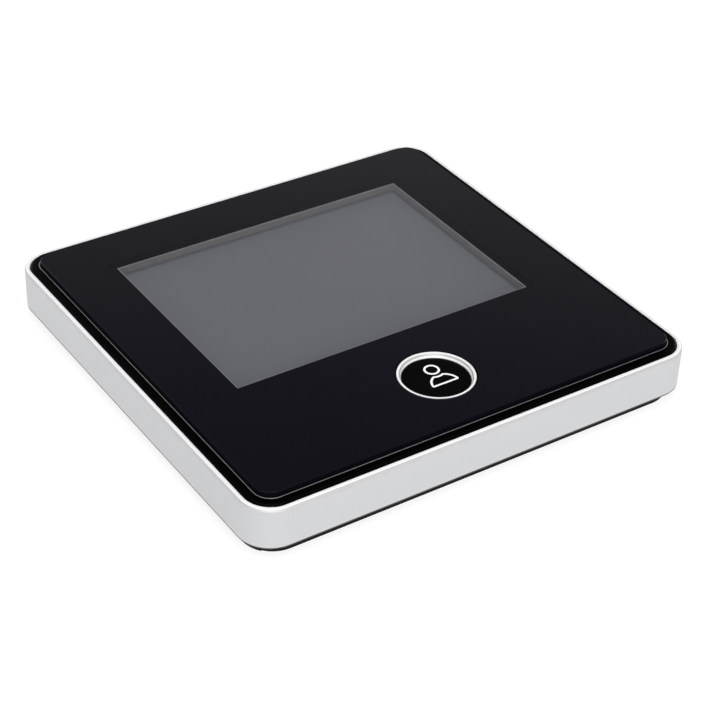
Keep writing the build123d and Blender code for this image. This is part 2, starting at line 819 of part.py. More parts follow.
spring_height = spring_room - 2 * spring_wire_radius
spring_slope = degrees(atan((spring_root_radius - spring_tip_radius) / spring_height))
with BuildPart() as contact_springs:
    for index, cell_y in enumerate(cell_places):
        turned = index % 2 == 1
        spring_foot = bay_x0 + contact_thickness + spring_wire_radius
        if turned:
            spring_foot = bay_x1 - contact_thickness - spring_wire_radius
        with BuildLine() as coil:
            Helix(
                pitch=spring_height / spring_turns,
                height=spring_height,
                radius=spring_root_radius,
                center=(spring_foot, cell_y, cell_axis),
                direction=(-1, 0, 0) if turned else (1, 0, 0),
                cone_angle=-spring_slope,
            )
        with BuildSketch(Plane(origin=coil.line @ 0, z_dir=coil.line % 0)):
            RegularPolygon(spring_wire_radius, spring_wire_sides)
        sweep(path=coil.line, is_frenet=True)
contact_springs.part.label = "contact_springs"
export_step(contact_springs.part, "parts/contact_springs.step")


with BuildPart() as button_ring:
    with BuildSketch(Plane.XZ.offset(button_drop)):
        with BuildLine():
            Polyline(
                (ring_bore, deck_top),
                (ring_radius, deck_top),
                (ring_radius, unit_thickness - ring_edge),
                (ring_radius - ring_edge, unit_thickness),
                (ring_radius - ring_rim, unit_thickness),
                (ring_bore, cap_top),
                close=True,
            )
        make_face()
    revolve(axis=Axis((0, -button_drop, 0), (0, 0, 1)))
button_ring.part.label = "button_ring"
export_step(button_ring.part, "parts/button_ring.step")


with BuildPart() as button_cap:
    with BuildSketch(Plane.XY.offset(lug_top - lug_thickness)):
        with Locations(button_place):
            Circle(cap_radius)
    extrude(amount=cap_top - lug_top + lug_thickness)
    fillet(button_cap.faces().sort_by(Axis.Z)[-1].edges(), cap_edge_radius)
    with BuildSketch(Plane.XY.offset(lug_top - lug_thickness)):
        with Locations(button_place):
            Circle(cap_radius - cap_wall)
    extrude(amount=cap_top - cap_roof - lug_top + lug_thickness, mode=Mode.SUBTRACT)
    # Lugs that stop the cap under the deck
    with BuildSketch(Plane.XY.offset(lug_top - lug_thickness)):
        with Locations(button_place):
            Rectangle(lug_width, 2 * (cap_radius + lug_reach))
            Circle(cap_radius - cap_wall / 2, mode=Mode.SUBTRACT)
    extrude(amount=lug_thickness)
    # Stem that meets the switch
    with BuildSketch(Plane.XY.offset(plunger_top)):
        with Locations(button_place):
            Circle(stem_radius)
    extrude(amount=cap_top - cap_roof / 2 - plunger_top)
button_cap.part.label = "button_cap"
export_step(button_cap.part, "parts/button_cap.step")


with BuildPart() as button_board:
    with BuildSketch(Plane.XY.offset(button_board_lift)):
        with Locations(button_place):
            RectangleRounded(button_board_width, button_board_height, board_corner_radius)
        with Locations(*button_post_places):
            Circle(board_hole_radius, mode=Mode.SUBTRACT)
    extrude(amount=board_thickness)
button_board.part.label = "button_board"
export_step(button_board.part, "parts/button_board.step")


with BuildPart() as push_switch:
    with BuildSketch(Plane.XY.offset(button_board_top)):
        with Locations(button_place):
            RectangleRounded(switch_size, switch_size, switch_corner_radius)
    extrude(amount=switch_height)
    with BuildSketch(Plane.XY.offset(switch_top - plunger_hole_depth)):
        with Locations(button_place):
            Circle(plunger_radius + plunger_gap)
    extrude(amount=plunger_hole_depth, mode=Mode.SUBTRACT)
push_switch.part.label = "push_switch"
export_step(push_switch.part, "parts/push_switch.step")


with BuildPart() as switch_plunger:
    with BuildSketch(Plane.XY.offset(switch_top - plunger_depth)):
        with Locations(button_place):
            Circle(plunger_radius)
    extrude(amount=plunger_depth + plunger_stand)
switch_plunger.part.label = "switch_plunger"
export_step(switch_plunger.part, "parts/switch_plunger.step")


# Flat lead from the button's board up to the main board
lead_start = -button_drop + button_board_height / 2 - lead_lap
lead_end = board_foot + lead_lap
lead_low = button_board_top + lead_thickness / 2
lead_high = board_top + lead_thickness / 2
with BuildPart() as button_lead:
    with BuildSketch(Plane.YZ.offset(lead_offset - lead_width / 2)):
        with BuildLine() as lead_path:
            Polyline(
                (lead_start, lead_low),
                (lead_start + lead_lap + lead_thickness, lead_low),
                (lead_end - lead_lap - lead_thickness, lead_high),
                (lead_end, lead_high),
            )
        trace(lead_path.edges(), line_width=lead_thickness)
    extrude(amount=lead_width)
button_lead.part.label = "button_lead"
export_step(button_lead.part, "parts/button_lead.step")


speaker_foot = rear_wall
speaker_top = speaker_foot + speaker_height
with BuildPart() as speaker_basket:
    with BuildSketch(Plane.XY.offset(speaker_foot)):
        with Locations((speaker_x, speaker_y)):
            Circle(speaker_radius)
    extrude(amount=speaker_height)
    with BuildSketch(Plane.XY.offset(speaker_foot)):
        with Locations((speaker_x, speaker_y)):
            Circle(speaker_radius - speaker_rim)
    extrude(amount=speaker_height - speaker_rim / 2, mode=Mode.SUBTRACT)
speaker_basket.part.label = "speaker_basket"
export_step(speaker_basket.part, "parts/speaker_basket.step")


cone_radius = speaker_radius - speaker_rim - cone_gap
cone_foot = speaker_foot + speaker_seat
with BuildPart() as speaker_cone:
    with BuildSketch(Plane.XZ.offset(-speaker_y)):
        with BuildLine():
            Polyline(
                (speaker_x, cone_foot + cone_rise),
                (speaker_x + cone_dome_radius, cone_foot + cone_rise),
                (speaker_x + cone_radius, cone_foot),
                (speaker_x + cone_radius, cone_foot + cone_thickness),
                (speaker_x + cone_dome_radius, cone_foot + cone_rise + cone_thickness),
                (speaker_x, cone_foot + cone_rise + cone_thickness),
                close=True,
            )
        make_face()
    revolve(axis=Axis((speaker_x, speaker_y, 0), (0, 0, 1)))
speaker_cone.part.label = "speaker_cone"
export_step(speaker_cone.part, "parts/speaker_cone.step")


with BuildPart() as speaker_magnet:
    with BuildSketch(Plane.XY.offset(speaker_top)):
        with Locations((speaker_x, speaker_y)):
            Circle(magnet_radius)
    extrude(amount=magnet_height)
    chamfer(speaker_magnet.faces().sort_by(Axis.Z)[-1].edges(), chip_chamfer)
speaker_magnet.part.label = "speaker_magnet"
export_step(speaker_magnet.part, "parts/speaker_magnet.step")


# Screws, each group with its heads to the back
with BuildPart() as case_screws:
    with BuildSketch(Plane.XY.offset(screw_head_sink)):
        with Locations(*case_screw_places):
            Circle(screw_head_radius)
    extrude(amount=screw_head_height)
    heads = case_screws.faces().filter_by(Axis.Z).group_by(Axis.Z)[0]
    chamfer(heads.edges(), screw_head_edge)
    with BuildSketch(Plane.XY.offset(case_screw_seat)):
        with Locations(*case_screw_places):
            Circle(screw_radius)
    extrude(amount=case_screw_length)
case_screws.part.label = "case_screws"
export_step(case_screws.part, "parts/case_screws.step")


with BuildPart() as board_screws:
    with BuildSketch(Plane.XY.offset(board_lift - screw_head_height)):
        with Locations(*board_post_places):
            Circle(screw_head_radius)
    extrude(amount=screw_head_height)
    heads = board_screws.faces().filter_by(Axis.Z).group_by(Axis.Z)[0]
    chamfer(heads.edges(), screw_head_edge)
    with BuildSketch(Plane.XY.offset(board_lift)):
        with Locations(*board_post_places):
            Circle(screw_radius)
    extrude(amount=board_screw_length)
board_screws.part.label = "board_screws"
export_step(board_screws.part, "parts/board_screws.step")


with BuildPart() as button_screws:
    with BuildSketch(Plane.XY.offset(button_board_top)):
        with Locations(*button_post_places):
            Circle(screw_head_radius)
    extrude(amount=screw_head_height)
    heads = button_screws.faces().filter_by(Axis.Z).group_by(Axis.Z)[-1]
    chamfer(heads.edges(), screw_head_edge)
    with BuildSketch(Plane.XY.offset(button_board_top)):
        with Locations(*button_post_places):
            Circle(screw_radius)
    extrude(amount=-button_screw_length)
button_screws.part.label = "button_screws"
export_step(button_screws.part, "parts/button_screws.step")
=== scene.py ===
import bpy
from math import cos, pi, radians, sin
from mathutils import Matrix, Vector


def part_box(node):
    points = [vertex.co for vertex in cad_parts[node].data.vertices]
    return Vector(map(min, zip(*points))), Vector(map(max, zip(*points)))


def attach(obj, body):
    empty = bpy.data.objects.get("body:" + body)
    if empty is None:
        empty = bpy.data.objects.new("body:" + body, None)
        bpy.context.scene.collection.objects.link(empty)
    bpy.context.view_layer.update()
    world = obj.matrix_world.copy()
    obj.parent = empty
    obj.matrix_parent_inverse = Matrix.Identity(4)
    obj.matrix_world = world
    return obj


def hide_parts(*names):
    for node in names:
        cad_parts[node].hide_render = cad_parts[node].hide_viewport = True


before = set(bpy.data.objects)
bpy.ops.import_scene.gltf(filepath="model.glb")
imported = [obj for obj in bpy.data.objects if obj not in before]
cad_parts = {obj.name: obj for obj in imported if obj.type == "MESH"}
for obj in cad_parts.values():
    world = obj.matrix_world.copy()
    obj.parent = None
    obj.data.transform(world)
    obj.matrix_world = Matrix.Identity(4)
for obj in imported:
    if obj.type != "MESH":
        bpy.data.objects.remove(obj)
for spare in ("Cube", "Light", "Camera"):
    if spare in bpy.data.objects:
        bpy.data.objects.remove(bpy.data.objects[spare])
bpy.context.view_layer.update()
print("frame loaded:", len(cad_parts), "nodes")

mm = 0.001  # one millimetre in the scene's metres


# Camera at the photograph's angle, its place in millimetres
view = {
    "lens": 97.9353,
    "sensor": 36,
    "nearest": 0.01,
    "eye": (-229.518, -337.525, 285.713),
    "turn": radians(-34.7459),
    "lift": radians(35.2727),
    "roll": radians(2.2516),
}
towardEye = Vector((
    sin(view["turn"]) * cos(view["lift"]),
    -cos(view["turn"]) * cos(view["lift"]),
    sin(view["lift"]),
))
across = Vector((cos(view["turn"]), sin(view["turn"]), 0))
upright = towardEye.cross(across)
tiltedAcross = across * cos(view["roll"]) + upright * sin(view["roll"])
tiltedUp = upright * cos(view["roll"]) - across * sin(view["roll"])
bpy.ops.object.camera_add()
camera = bpy.context.object
camera.name = "photoCamera"
camera.data.lens = view["lens"]
camera.data.sensor_width = view["sensor"]
camera.data.clip_start = view["nearest"]
cameraMatrix = Matrix((tiltedAcross, tiltedUp, towardEye)).transposed().to_4x4()
cameraMatrix.translation = Vector(view["eye"]) * mm
camera.matrix_world = cameraMatrix
bpy.context.scene.camera = camera
bpy.context.scene.view_settings.view_transform = "Standard"
print("camera placed")


# A socket that turns Python sums into Math nodes
class socketMath:
    def __init__(self, finish, socket):
        self.finish = finish
        self.socket = socket

    def worked(self, operation, *terms):
        return self.finish.node("ShaderNodeMath", {"operation": operation}, dict(enumerate(terms)))

    def output(self, key):
        return socketMath(self.finish, self.socket.node.outputs[key])

    def __add__(self, other):
        return self.worked("ADD", self, other)

    def __sub__(self, other):
        return self.worked("SUBTRACT", self, other)

    def __rsub__(self, other):
        return self.worked("SUBTRACT", other, self)

    def __mul__(self, other):
        return self.worked("MULTIPLY", self, other)

    def __mod__(self, other):
        return self.worked("FLOORED_MODULO", self, other)

    def __abs__(self):
        return self.worked("ABSOLUTE", self)

    def least(self, other):
        return self.worked("MINIMUM", self, other)

    def most(self, other):
        return self.worked("MAXIMUM", self, other)

    def sine(self):
        return self.worked("SINE", self)

    __radd__ = __add__
    __rmul__ = __mul__


# Node tree of one material, or of the world
class nodeFinish:
    def __init__(self, name, owner=None):
        self.owner = owner or bpy.data.materials.new(name)
        self.owner.use_nodes = True
        self.tree = self.owner.node_tree
        self.tree.nodes.clear()

    def node(self, kind, settings=None, inputs=None, output=0):
        made = self.tree.nodes.new(kind)
        for key, value in (settings or {}).items():
            setattr(made, key, value)
        for key, value in (inputs or {}).items():
            if isinstance(value, socketMath):
                self.tree.links.new(value.socket, made.inputs[key])
            else:
                made.inputs[key].default_value = value
        return socketMath(self, made.outputs[output]) if made.outputs else None

    # Object coordinates in millimetres
    def place(self):
        raw = self.node("ShaderNodeTexCoord", output="Object")
        return self.node("ShaderNodeVectorMath", {"operation": "SCALE"}, {0: raw, "Scale": 1 / mm})

    def parts(self, vector):
        split = self.node("ShaderNodeSeparateXYZ", None, {0: vector})
        return split, split.output(1), split.output(2)

    def stretched(self, vector, factors):
        return self.node("ShaderNodeVectorMath", {"operation": "MULTIPLY"}, {0: vector, 1: factors})

    # Distance from the upright line through x and y
    def fromAxis(self, vector, x, y):
        centred = self.node(
            "ShaderNodeVectorMath", {"operation": "SUBTRACT"}, {0: vector, 1: (x, y, 0)}
        )
        flat = self.stretched(centred, (1, 1, 0))
        return self.node("ShaderNodeVectorMath", {"operation": "LENGTH"}, {0: flat}, "Value")

    def noise(self, vector, scale, detail=2, roughness=0.5):
        return self.node(
            "ShaderNodeTexNoise", None,
            {"Vector": vector, "Scale": scale, "Detail": detail, "Roughness": roughness},
        )

    def cells(self, vector, scale, feature="F1"):
        return self.node(
            "ShaderNodeTexVoronoi", {"feature": feature}, {"Vector": vector, "Scale": scale}
        )

    # From 0 below the low value to 1 above the high one
    def rise(self, value, low, high):
        return self.node(
            "ShaderNodeMapRange", {"interpolation_type": "SMOOTHSTEP"},
            {"Value": value, "From Min": low, "From Max": high},
        )

    # From 1 below the low value to 0 above the high one
    def fall(self, value, low, high):
        return 1 - self.rise(value, low, high)

    # 1 from low to high, with soft ends
    def band(self, value, low, high, soft):
        return self.rise(value, low - soft, low) * self.fall(value, high, high + soft)

    def mixed(self, factor, first, second):
        colours = {
            key: value if isinstance(value, socketMath) else opaque(value)
            for key, value in ((6, first), (7, second))
        }
        return self.node("ShaderNodeMix", {"data_type": "RGBA"}, {0: factor, **colours}, 2)

    def bump(self, height, distance, strength):
        return self.node(
            "ShaderNodeBump", None,
            {"Height": height, "Distance": distance * mm, "Strength": strength},
        )

    def shader(self, **inputs):
        named = {key.replace("_", " "): value for key, value in inputs.items()}
        for key in ("Base Color", "Emission Color"):
            if key in named and not isinstance(named[key], socketMath):
                named[key] = opaque(named[key])
        return self.node("ShaderNodeBsdfPrincipled", None, named)

    def blended(self, factor, first, second):
        return self.node("ShaderNodeMixShader", None, {0: factor, 1: first, 2: second})

    def finished(self, shader):
        self.node("ShaderNodeOutputMaterial", None, {"Surface": shader})
        return self.owner


def opaque(colour):
    return (*colour, 1)


def grey(value, tint=(1, 1, 1)):
    return tuple(value * part for part in tint)


def deselectAll():
    bpy.ops.object.select_all(action="DESELECT")


# Studio: white floor, a plain gradient round it, and soft lamps
studio = {
    "floorSize": 6.0,
    "floorTone": 0.26,
    "floorGlow": 0.81,
    "skyTone": 0.78,
    "cardTone": 0.076,
    "cardTint": (0.93, 0.98, 1.18),
    "cardTurn": (0.1, 0.5),
    "cardHeight": (0.20, 0.63),
    "brightSide": Vector((-0.57, -0.82, 0)),
}
deselectAll()
bpy.ops.mesh.primitive_plane_add(size=studio["floorSize"])
floor = bpy.context.object
floor.name = "studioFloor"
paper = nodeFinish("floorPaper")
rays = paper.node("ShaderNodeLightPath", output="Is Camera Ray")
seen = rays.most(rays.output("Is Glossy Ray")).most(rays.output("Is Transmission Ray"))
grain = paper.noise(paper.place(), 1.5, 3)
floor.data.materials.append(paper.finished(paper.shader(
    Base_Color=paper.mixed(grain, grey(studio["floorTone"]), grey(studio["floorTone"] * 1.03)),
    Roughness=0.9,
    Emission_Color=paper.mixed(seen, (0, 0, 0), grey(studio["floorGlow"])),
    Emission_Strength=1.0,
)))

world = bpy.context.scene.world or bpy.data.worlds.new("studioWorld")
bpy.context.scene.world = world
sky = nodeFinish("studioSky", world)
direction = sky.node("ShaderNodeTexCoord", output="Generated")
toward = sky.node(
    "ShaderNodeVectorMath", {"operation": "DOT_PRODUCT"},
    {0: direction, 1: studio["brightSide"]}, "Value",
)
skyHeight = sky.parts(direction)[2]
card = sky.fall(toward, *studio["cardTurn"]) * sky.rise(skyHeight, *studio["cardHeight"])
tone = sky.mixed(card, grey(studio["skyTone"]), grey(studio["cardTone"], studio["cardTint"]))
cameraRay = sky.node("ShaderNodeLightPath", output="Is Camera Ray")
backdrop = sky.mixed(cameraRay, tone, (1, 1, 1))
sky.node("ShaderNodeOutputWorld", None, {
    "Surface": sky.node("ShaderNodeBackground", None, {"Color": backdrop, "Strength": 1.0}),
})

lamps = {
    "topLamp": {"place": (-0.08, -0.10, 1.2), "size": (1.6, 1.6), "power": 9.8},
    "frontLamp": {"place": (-0.45, -1.05, 0.65), "size": (1.2, 0.7), "power": 6.2},
    "rightLamp": {"place": (1.25, 0.10, 0.42), "size": (1.3, 0.6), "power": 1.8},
    "backLamp": {"place": (-0.20, 1.25, 0.42), "size": (1.3, 0.6), "power": 2.3},
}
for name, lamp in lamps.items():
    bpy.ops.object.light_add(type="AREA", location=lamp["place"])
    light = bpy.context.object
    light.name = name
    light.rotation_euler = Vector(lamp["place"]).to_track_quat("Z", "Y").to_euler()
    light.data.shape = "RECTANGLE"
    light.data.size, light.data.size_y = lamp["size"]
    light.data.energy = lamp["power"]
print("studio lit")


def boxOf(node):
    low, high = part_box(node)
    return Vector(low) / mm, Vector(high) / mm


def dress(material, *nodes):
    for node in nodes:
        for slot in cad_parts[node].material_slots:
            slot.material = material


# Silver frame. Its heights are in millimetres, and its foot is painted dark as the shade under the
# side
silver = {
    "tone": 0.72,
    "tint": (0.985, 0.992, 1.012),
    "roughness": 0.40,
    "lipFoot": 14.08,
    "lipHighlightTone": 0.96,
    "shoulder": (13.45, 13.75),
    "shoulderShadeTone": 0.60,
    "darkReflectionAt": (13.38, 13.46),
    "darkReflectionStrength": 0.35,
    "footShadeLine": 3.62,
    "footShadeTone": 0.08,
}
coat = nodeFinish("satinSilver")
spot = coat.place()
z = coat.parts(spot)[2]
speckle = coat.noise(spot, 7, 3, 0.6)
cloud = coat.noise(spot, 0.05, 2)
lip = coat.rise(z, silver["lipFoot"], silver["lipFoot"] + 0.10)
shoulder = coat.rise(z, *silver["shoulder"])
# Painted reflection: a faint dashed dark line at the foot of the lip's rounding
dashes = coat.rise(coat.noise(coat.stretched(spot, (0.25, 0.25, 0.1)), 1.6, 2), 0.42, 0.58)
darkReflectionLine = coat.band(z, *silver["darkReflectionAt"], 0.05) * dashes
# Painted shade: the lowest part of the side is painted near black
footShade = coat.fall(z, silver["footShadeLine"], silver["footShadeLine"] + 0.12)
shade = coat.rise(speckle, 0.2, 0.8) * 0.6 + cloud * 0.4
side = coat.mixed(
    shade,
    grey(silver["tone"] * 0.93, silver["tint"]),
    grey(silver["tone"] * 1.04, silver["tint"]),
)
# Painted shade: the band just under the lip is painted darker than the side
shoulderPaintedShade = coat.mixed(
    shade, grey(silver["shoulderShadeTone"]), grey(silver["shoulderShadeTone"] * 1.06)
)
metal = coat.mixed(shoulder, side, shoulderPaintedShade)
# Painted highlight: the lip's colour is lifted towards white, above its real smoother polish
metal = coat.mixed(lip, metal, grey(silver["lipHighlightTone"]))
metal = coat.mixed(darkReflectionLine * silver["darkReflectionStrength"], metal, grey(silver["tone"] * 0.5))
metal = coat.mixed(footShade, metal, grey(silver["footShadeTone"]))
dress(coat.finished(coat.shader(
    Base_Color=metal,
    Metallic=0.4 - 0.3 * lip,
    Roughness=silver["roughness"] + 0.1 * speckle - 0.12 * lip,
    Normal=coat.bump(speckle, 0.012, 0.35),
)), "metal_frame")


# Front panel: clear plate, printed black behind except for the window
panel = {
    "gasketWidth": 1.5,
    "clearMargin": 1.8,
    "printHeight": (0.05, 0.06),
    "edgeDepth": (0.05, 0.02),
    "blackInk": ((0.0024, 0.0020, 0.0048), (0.0034, 0.0028, 0.0062)),
    "index": 1.49,
}
panelLow, panelHigh = boxOf("front_panel")
gasketLow, gasketHigh = boxOf("lcd_gasket")
window = {
    "x": (gasketLow.x + gasketHigh.x) / 2,
    "y": (gasketLow.y + gasketHigh.y) / 2,
    "halfWidth": (gasketHigh.x - gasketLow.x) / 2 - panel["gasketWidth"],
    "halfHeight": (gasketHigh.y - gasketLow.y) / 2 - panel["gasketWidth"],
}


# Above zero outside the window
def outsideWindow(x, y):
    beside = abs(x - window["x"]) - window["halfWidth"]
    return beside.most(abs(y - window["y"]) - window["halfHeight"])


plate = nodeFinish("clearPlate")
spot = plate.place()
x, y, z = plate.parts(spot)
abovePrint = plate.rise(z, *(panelLow.z + height for height in panel["printHeight"]))
clear = plate.fall(outsideWindow(x, y) - panel["clearMargin"] * abovePrint, -0.02, 0.02)
belowTop = plate.fall(z, *(panelHigh.z - depth for depth in panel["edgeDepth"]))
smear = plate.noise(plate.stretched(spot, (0.05, 0.12, 0.05)), 1.0, 4, 0.6)
ink = plate.mixed(smear, *panel["blackInk"])
wiped = 0.05 + 0.06 * smear
waviness = plate.bump(plate.noise(spot, 0.12, 2), 0.004, 0.3)
gloss = plate.shader(Base_Color=ink, Roughness=wiped, IOR=panel["index"], Normal=waviness)
groundEdge = plate.shader(Base_Color=ink, Roughness=0.5, Specular_IOR_Level=0.04)
glass = plate.shader(
    Base_Color=(0.97, 0.975, 0.98),
    Roughness=wiped,
    IOR=panel["index"],
    Transmission_Weight=1.0,
    Normal=waviness,
)
# Light passes straight through the glass, so that the screen behind is lit
shadowRay = plate.node("ShaderNodeLightPath", output="Is Shadow Ray")
straight = shadowRay.most(shadowRay.output("Is Diffuse Ray"))
throughLight = plate.node("ShaderNodeBsdfTransparent", None, {"Color": opaque(grey(0.92))})
blackPart = plate.blended(belowTop, gloss, groundEdge)
clearPart = plate.blended(straight, glass, throughLight)
dress(plate.finished(plate.blended(clear, blackPart, clearPart)), "front_panel")


# Black mouldings in front
bezel = {"tone": 0.0006, "dustTone": 0.01, "roughness": 0.22, "gloss": 0.03}
moulding = nodeFinish("bezelBlack")
spot = moulding.place()
haze = moulding.noise(spot, 0.3, 3)
dust = moulding.rise(moulding.noise(spot, 5, 2), 0.7, 0.78)
dress(moulding.finished(moulding.shader(
    Base_Color=moulding.mixed(dust * 0.3, grey(bezel["tone"]), grey(bezel["dustTone"])),
    Roughness=bezel["roughness"] + 0.12 * haze,
    Specular_IOR_Level=bezel["gloss"],
    Normal=moulding.bump(moulding.noise(spot, 2.5, 2), 0.004, 0.2),
)), "front_bezel")

film = nodeFinish("adhesiveFilm")
fibre = film.noise(film.stretched(film.place(), (1, 6, 1)), 1.2, 3)
dress(film.finished(film.shader(
    Base_Color=film.mixed(fibre, grey(0.006), grey(0.02)),
    Roughness=0.6 + 0.2 * fibre,
    Normal=film.bump(fibre, 0.02, 0.4),
)), "panel_adhesive")


# Screen
foam = nodeFinish("gasketFoam")
pores = foam.cells(foam.place(), 4.5)
dress(foam.finished(foam.shader(
    Base_Color=foam.mixed(foam.rise(pores, 0.1, 0.6), grey(0.10), grey(0.17)),
    Roughness=0.9,
    Normal=foam.bump(pores, 0.08, 0.5),
)), "lcd_gasket")

screen = {
    "tone": 0.164,
    "tints": ((0.93, 1.03, 1.07), (1.02, 0.98, 1.18)),
    "borderTone": 0.106,
    "borderTint": (0.96, 0.98, 1.18),
    "pictureX": (-41.2, 41.2),
    "pictureY": (-16.3, 40.4),
    "rim": 0.3,
}
lcd = nodeFinish("screenGlass")
spot = lcd.place()
x, y = lcd.parts(spot)[:2]
patches = lcd.noise(lcd.stretched(spot, (0.03, 0.045, 0.03)), 1.0, 2, 0.4)
warmth = lcd.noise(lcd.stretched(spot, (0.04, 0.03, 0.04)), 1.3, 1, 0.4)
dots = lcd.noise(spot, 3.2, 2)
tinted = lcd.mixed(patches, *(grey(screen["tone"], tint) for tint in screen["tints"]))
tinted = lcd.mixed(warmth * 0.35, tinted, grey(screen["tone"] * 0.92, (0.97, 1, 1.06)))
tinted = lcd.mixed(dots * 0.12, tinted, grey(screen["tone"] * 0.8))
inPicture = (
    lcd.band(x, *screen["pictureX"], screen["rim"])
    * lcd.band(y, *screen["pictureY"], screen["rim"])
)
border = grey(screen["borderTone"], screen["borderTint"])
dress(lcd.finished(lcd.shader(
    Base_Color=lcd.mixed(inPicture, border, tinted),
    Roughness=0.30,
    Specular_IOR_Level=0.3,
    Normal=lcd.bump(dots, 0.002, 0.15),
)), "lcd_glass")

guide = nodeFinish("lightGuide")
dotGrid = guide.cells(guide.stretched(guide.place(), (1, 1, 0)), 1.1)
dress(guide.finished(guide.shader(
    Base_Color=guide.mixed(
        guide.rise(dotGrid, 0.15, 0.3), grey(0.95), grey(0.80, (1, 1, 0.99))
    ),
    Roughness=0.45,
    Normal=guide.bump(dotGrid, 0.03, 0.3),
)), "lcd_backlight")

tray = nodeFinish("traySteel")
rolled = tray.noise(tray.stretched(tray.place(), (0.35, 9, 9)), 1.0, 4, 0.6)
dress(tray.finished(tray.shader(
    Base_Color=tray.mixed(rolled, grey(0.46), grey(0.60, (1, 0.99, 0.97))),
    Metallic=1.0,
    Roughness=0.30 + 0.2 * rolled,
    Normal=tray.bump(rolled, 0.01, 0.3),
)), "lcd_frame")

ribbon = {
    "pitch": 0.8,
    "gap": (0.14, 0.2),
    "film": ((0.42, 0.17, 0.03), (0.52, 0.24, 0.05)),
    "track": (0.62, 0.33, 0.10),
}
amber = nodeFinish("ribbonFilm")
spot = amber.place()
x = amber.parts(spot)[0]
track = amber.rise(abs((x % ribbon["pitch"]) - ribbon["pitch"] / 2), *ribbon["gap"])
sheen = amber.noise(spot, 0.4, 2)
dress(amber.finished(amber.shader(
    Base_Color=amber.mixed(track, amber.mixed(sheen, *ribbon["film"]), ribbon["track"]),
    Roughness=0.32 + 0.1 * sheen,
    Normal=amber.bump(track, 0.03, 0.5),
)), "lcd_ribbon", "button_lead")
print("front and screen finished")


# Boards and what is on them
board = {
    "mask": (0.012, 0.13, 0.050),
    "track": (0.022, 0.20, 0.075),
    "trackEdge": (0.16, 0.22),
    "pitch": 1.27,
    "pad": (0.72, 0.60, 0.30),
    "padEdge": (0.075, 0.095),
    "hole": grey(0.02),
    "holeEdge": (0.035, 0.045),
    "glassFibre": ((0.32, 0.27, 0.12), (0.42, 0.38, 0.20)),
}
solder = nodeFinish("boardGreen")
spot = solder.place()
x, y = solder.parts(spot)[:2]
wander = solder.noise(spot, 0.09, 0)
lanes = abs(((x + wander * 9) % board["pitch"]) - board["pitch"] / 2)
rows = abs(((y + wander * 7) % (board["pitch"] * 1.5)) - board["pitch"] * 0.75)
upDown = solder.rise(solder.noise(spot, 0.11, 0), 0.48, 0.5)
tracks = (
    solder.fall(lanes, *board["trackEdge"]) * upDown
    + solder.fall(rows, *board["trackEdge"]) * (1 - upDown)
)
fromVia = solder.cells(solder.stretched(spot, (1, 1, 0)), 0.22)
pads = solder.fall(fromVia, *board["padEdge"])
holes = solder.fall(fromVia, *board["holeEdge"])
facing = solder.parts(solder.node("ShaderNodeNewGeometry", output="True Normal"))[2]
edge = solder.fall(abs(facing), 0.3, 0.6)
weave = solder.noise(solder.stretched(spot, (1, 1, 8)), 2, 2)
laminate = solder.mixed(tracks, board["mask"], board["track"])
laminate = solder.mixed(pads, laminate, board["pad"])
laminate = solder.mixed(holes, laminate, board["hole"])
laminate = solder.mixed(edge, laminate, solder.mixed(weave, *board["glassFibre"]))
dress(solder.finished(solder.shader(
    Base_Color=laminate,
    Metallic=pads * 0.8 * (1 - edge),
    Roughness=0.32 + 0.25 * edge,
    Normal=solder.bump(tracks + pads, 0.03, 0.6),
)), "main_board", "button_board")

chip = nodeFinish("chipBlack")
grit = chip.noise(chip.place(), 9, 3, 0.7)
dress(chip.finished(chip.shader(
    Base_Color=chip.mixed(grit, grey(0.012), grey(0.032, (1, 1, 1.05))),
    Roughness=0.55 + 0.15 * grit,
    Normal=chip.bump(grit, 0.02, 0.6),
)), "processor", "memory_chip")

coil = {"terminalTop": 6.9, "terminal": grey(0.55, (1, 0.97, 0.9))}
choke = nodeFinish("coilGrey")
spot = choke.place()
ferrite = choke.noise(spot, 4, 4, 0.7)
terminal = choke.fall(choke.parts(spot)[2], coil["terminalTop"], coil["terminalTop"] + 0.05)
dress(choke.finished(choke.shader(
    Base_Color=choke.mixed(
        terminal, choke.mixed(ferrite, grey(0.05), grey(0.13)), coil["terminal"]
    ),
    Metallic=terminal * 0.9,
    Roughness=0.6 - 0.25 * terminal,
    Normal=choke.bump(ferrite, 0.04, 0.5),
)), "power_coils")

capacitor = {
    "length": 3.2,
    "step": 5.0,
    "cap": 0.55,
    "body": ((0.30, 0.19, 0.09), (0.40, 0.27, 0.14)),
    "tin": grey(0.66, (1, 0.98, 0.94)),
}
ceramic = nodeFinish("capacitorTan")
spot = ceramic.place()
along = (ceramic.parts(spot)[0] - boxOf("capacitors")[0].x) % capacitor["step"]
ends = 1 - ceramic.band(
    along, capacitor["cap"], capacitor["length"] - capacitor["cap"], 0.05
)
mottle = ceramic.noise(spot, 3, 3)
dress(ceramic.finished(ceramic.shader(
    Base_Color=ceramic.mixed(
        ends, ceramic.mixed(mottle, *capacitor["body"]), capacitor["tin"]
    ),
    Metallic=ends * 0.95,
    Roughness=0.45 - 0.12 * ends,
    Normal=ceramic.bump(mottle, 0.02, 0.4),
)), "capacitors")

nylon = nodeFinish("socketCream")
spot = nylon.place()
flow = nylon.noise(nylon.stretched(spot, (0.5, 2, 2)), 1, 3)
dress(nylon.finished(nylon.shader(
    Base_Color=nylon.mixed(flow, (0.62, 0.55, 0.38), (0.74, 0.68, 0.52)),
    Roughness=0.45 + 0.1 * flow,
    Normal=nylon.bump(nylon.noise(spot, 6, 2), 0.01, 0.4),
)), "ribbon_socket", "camera_socket")
print("boards finished")


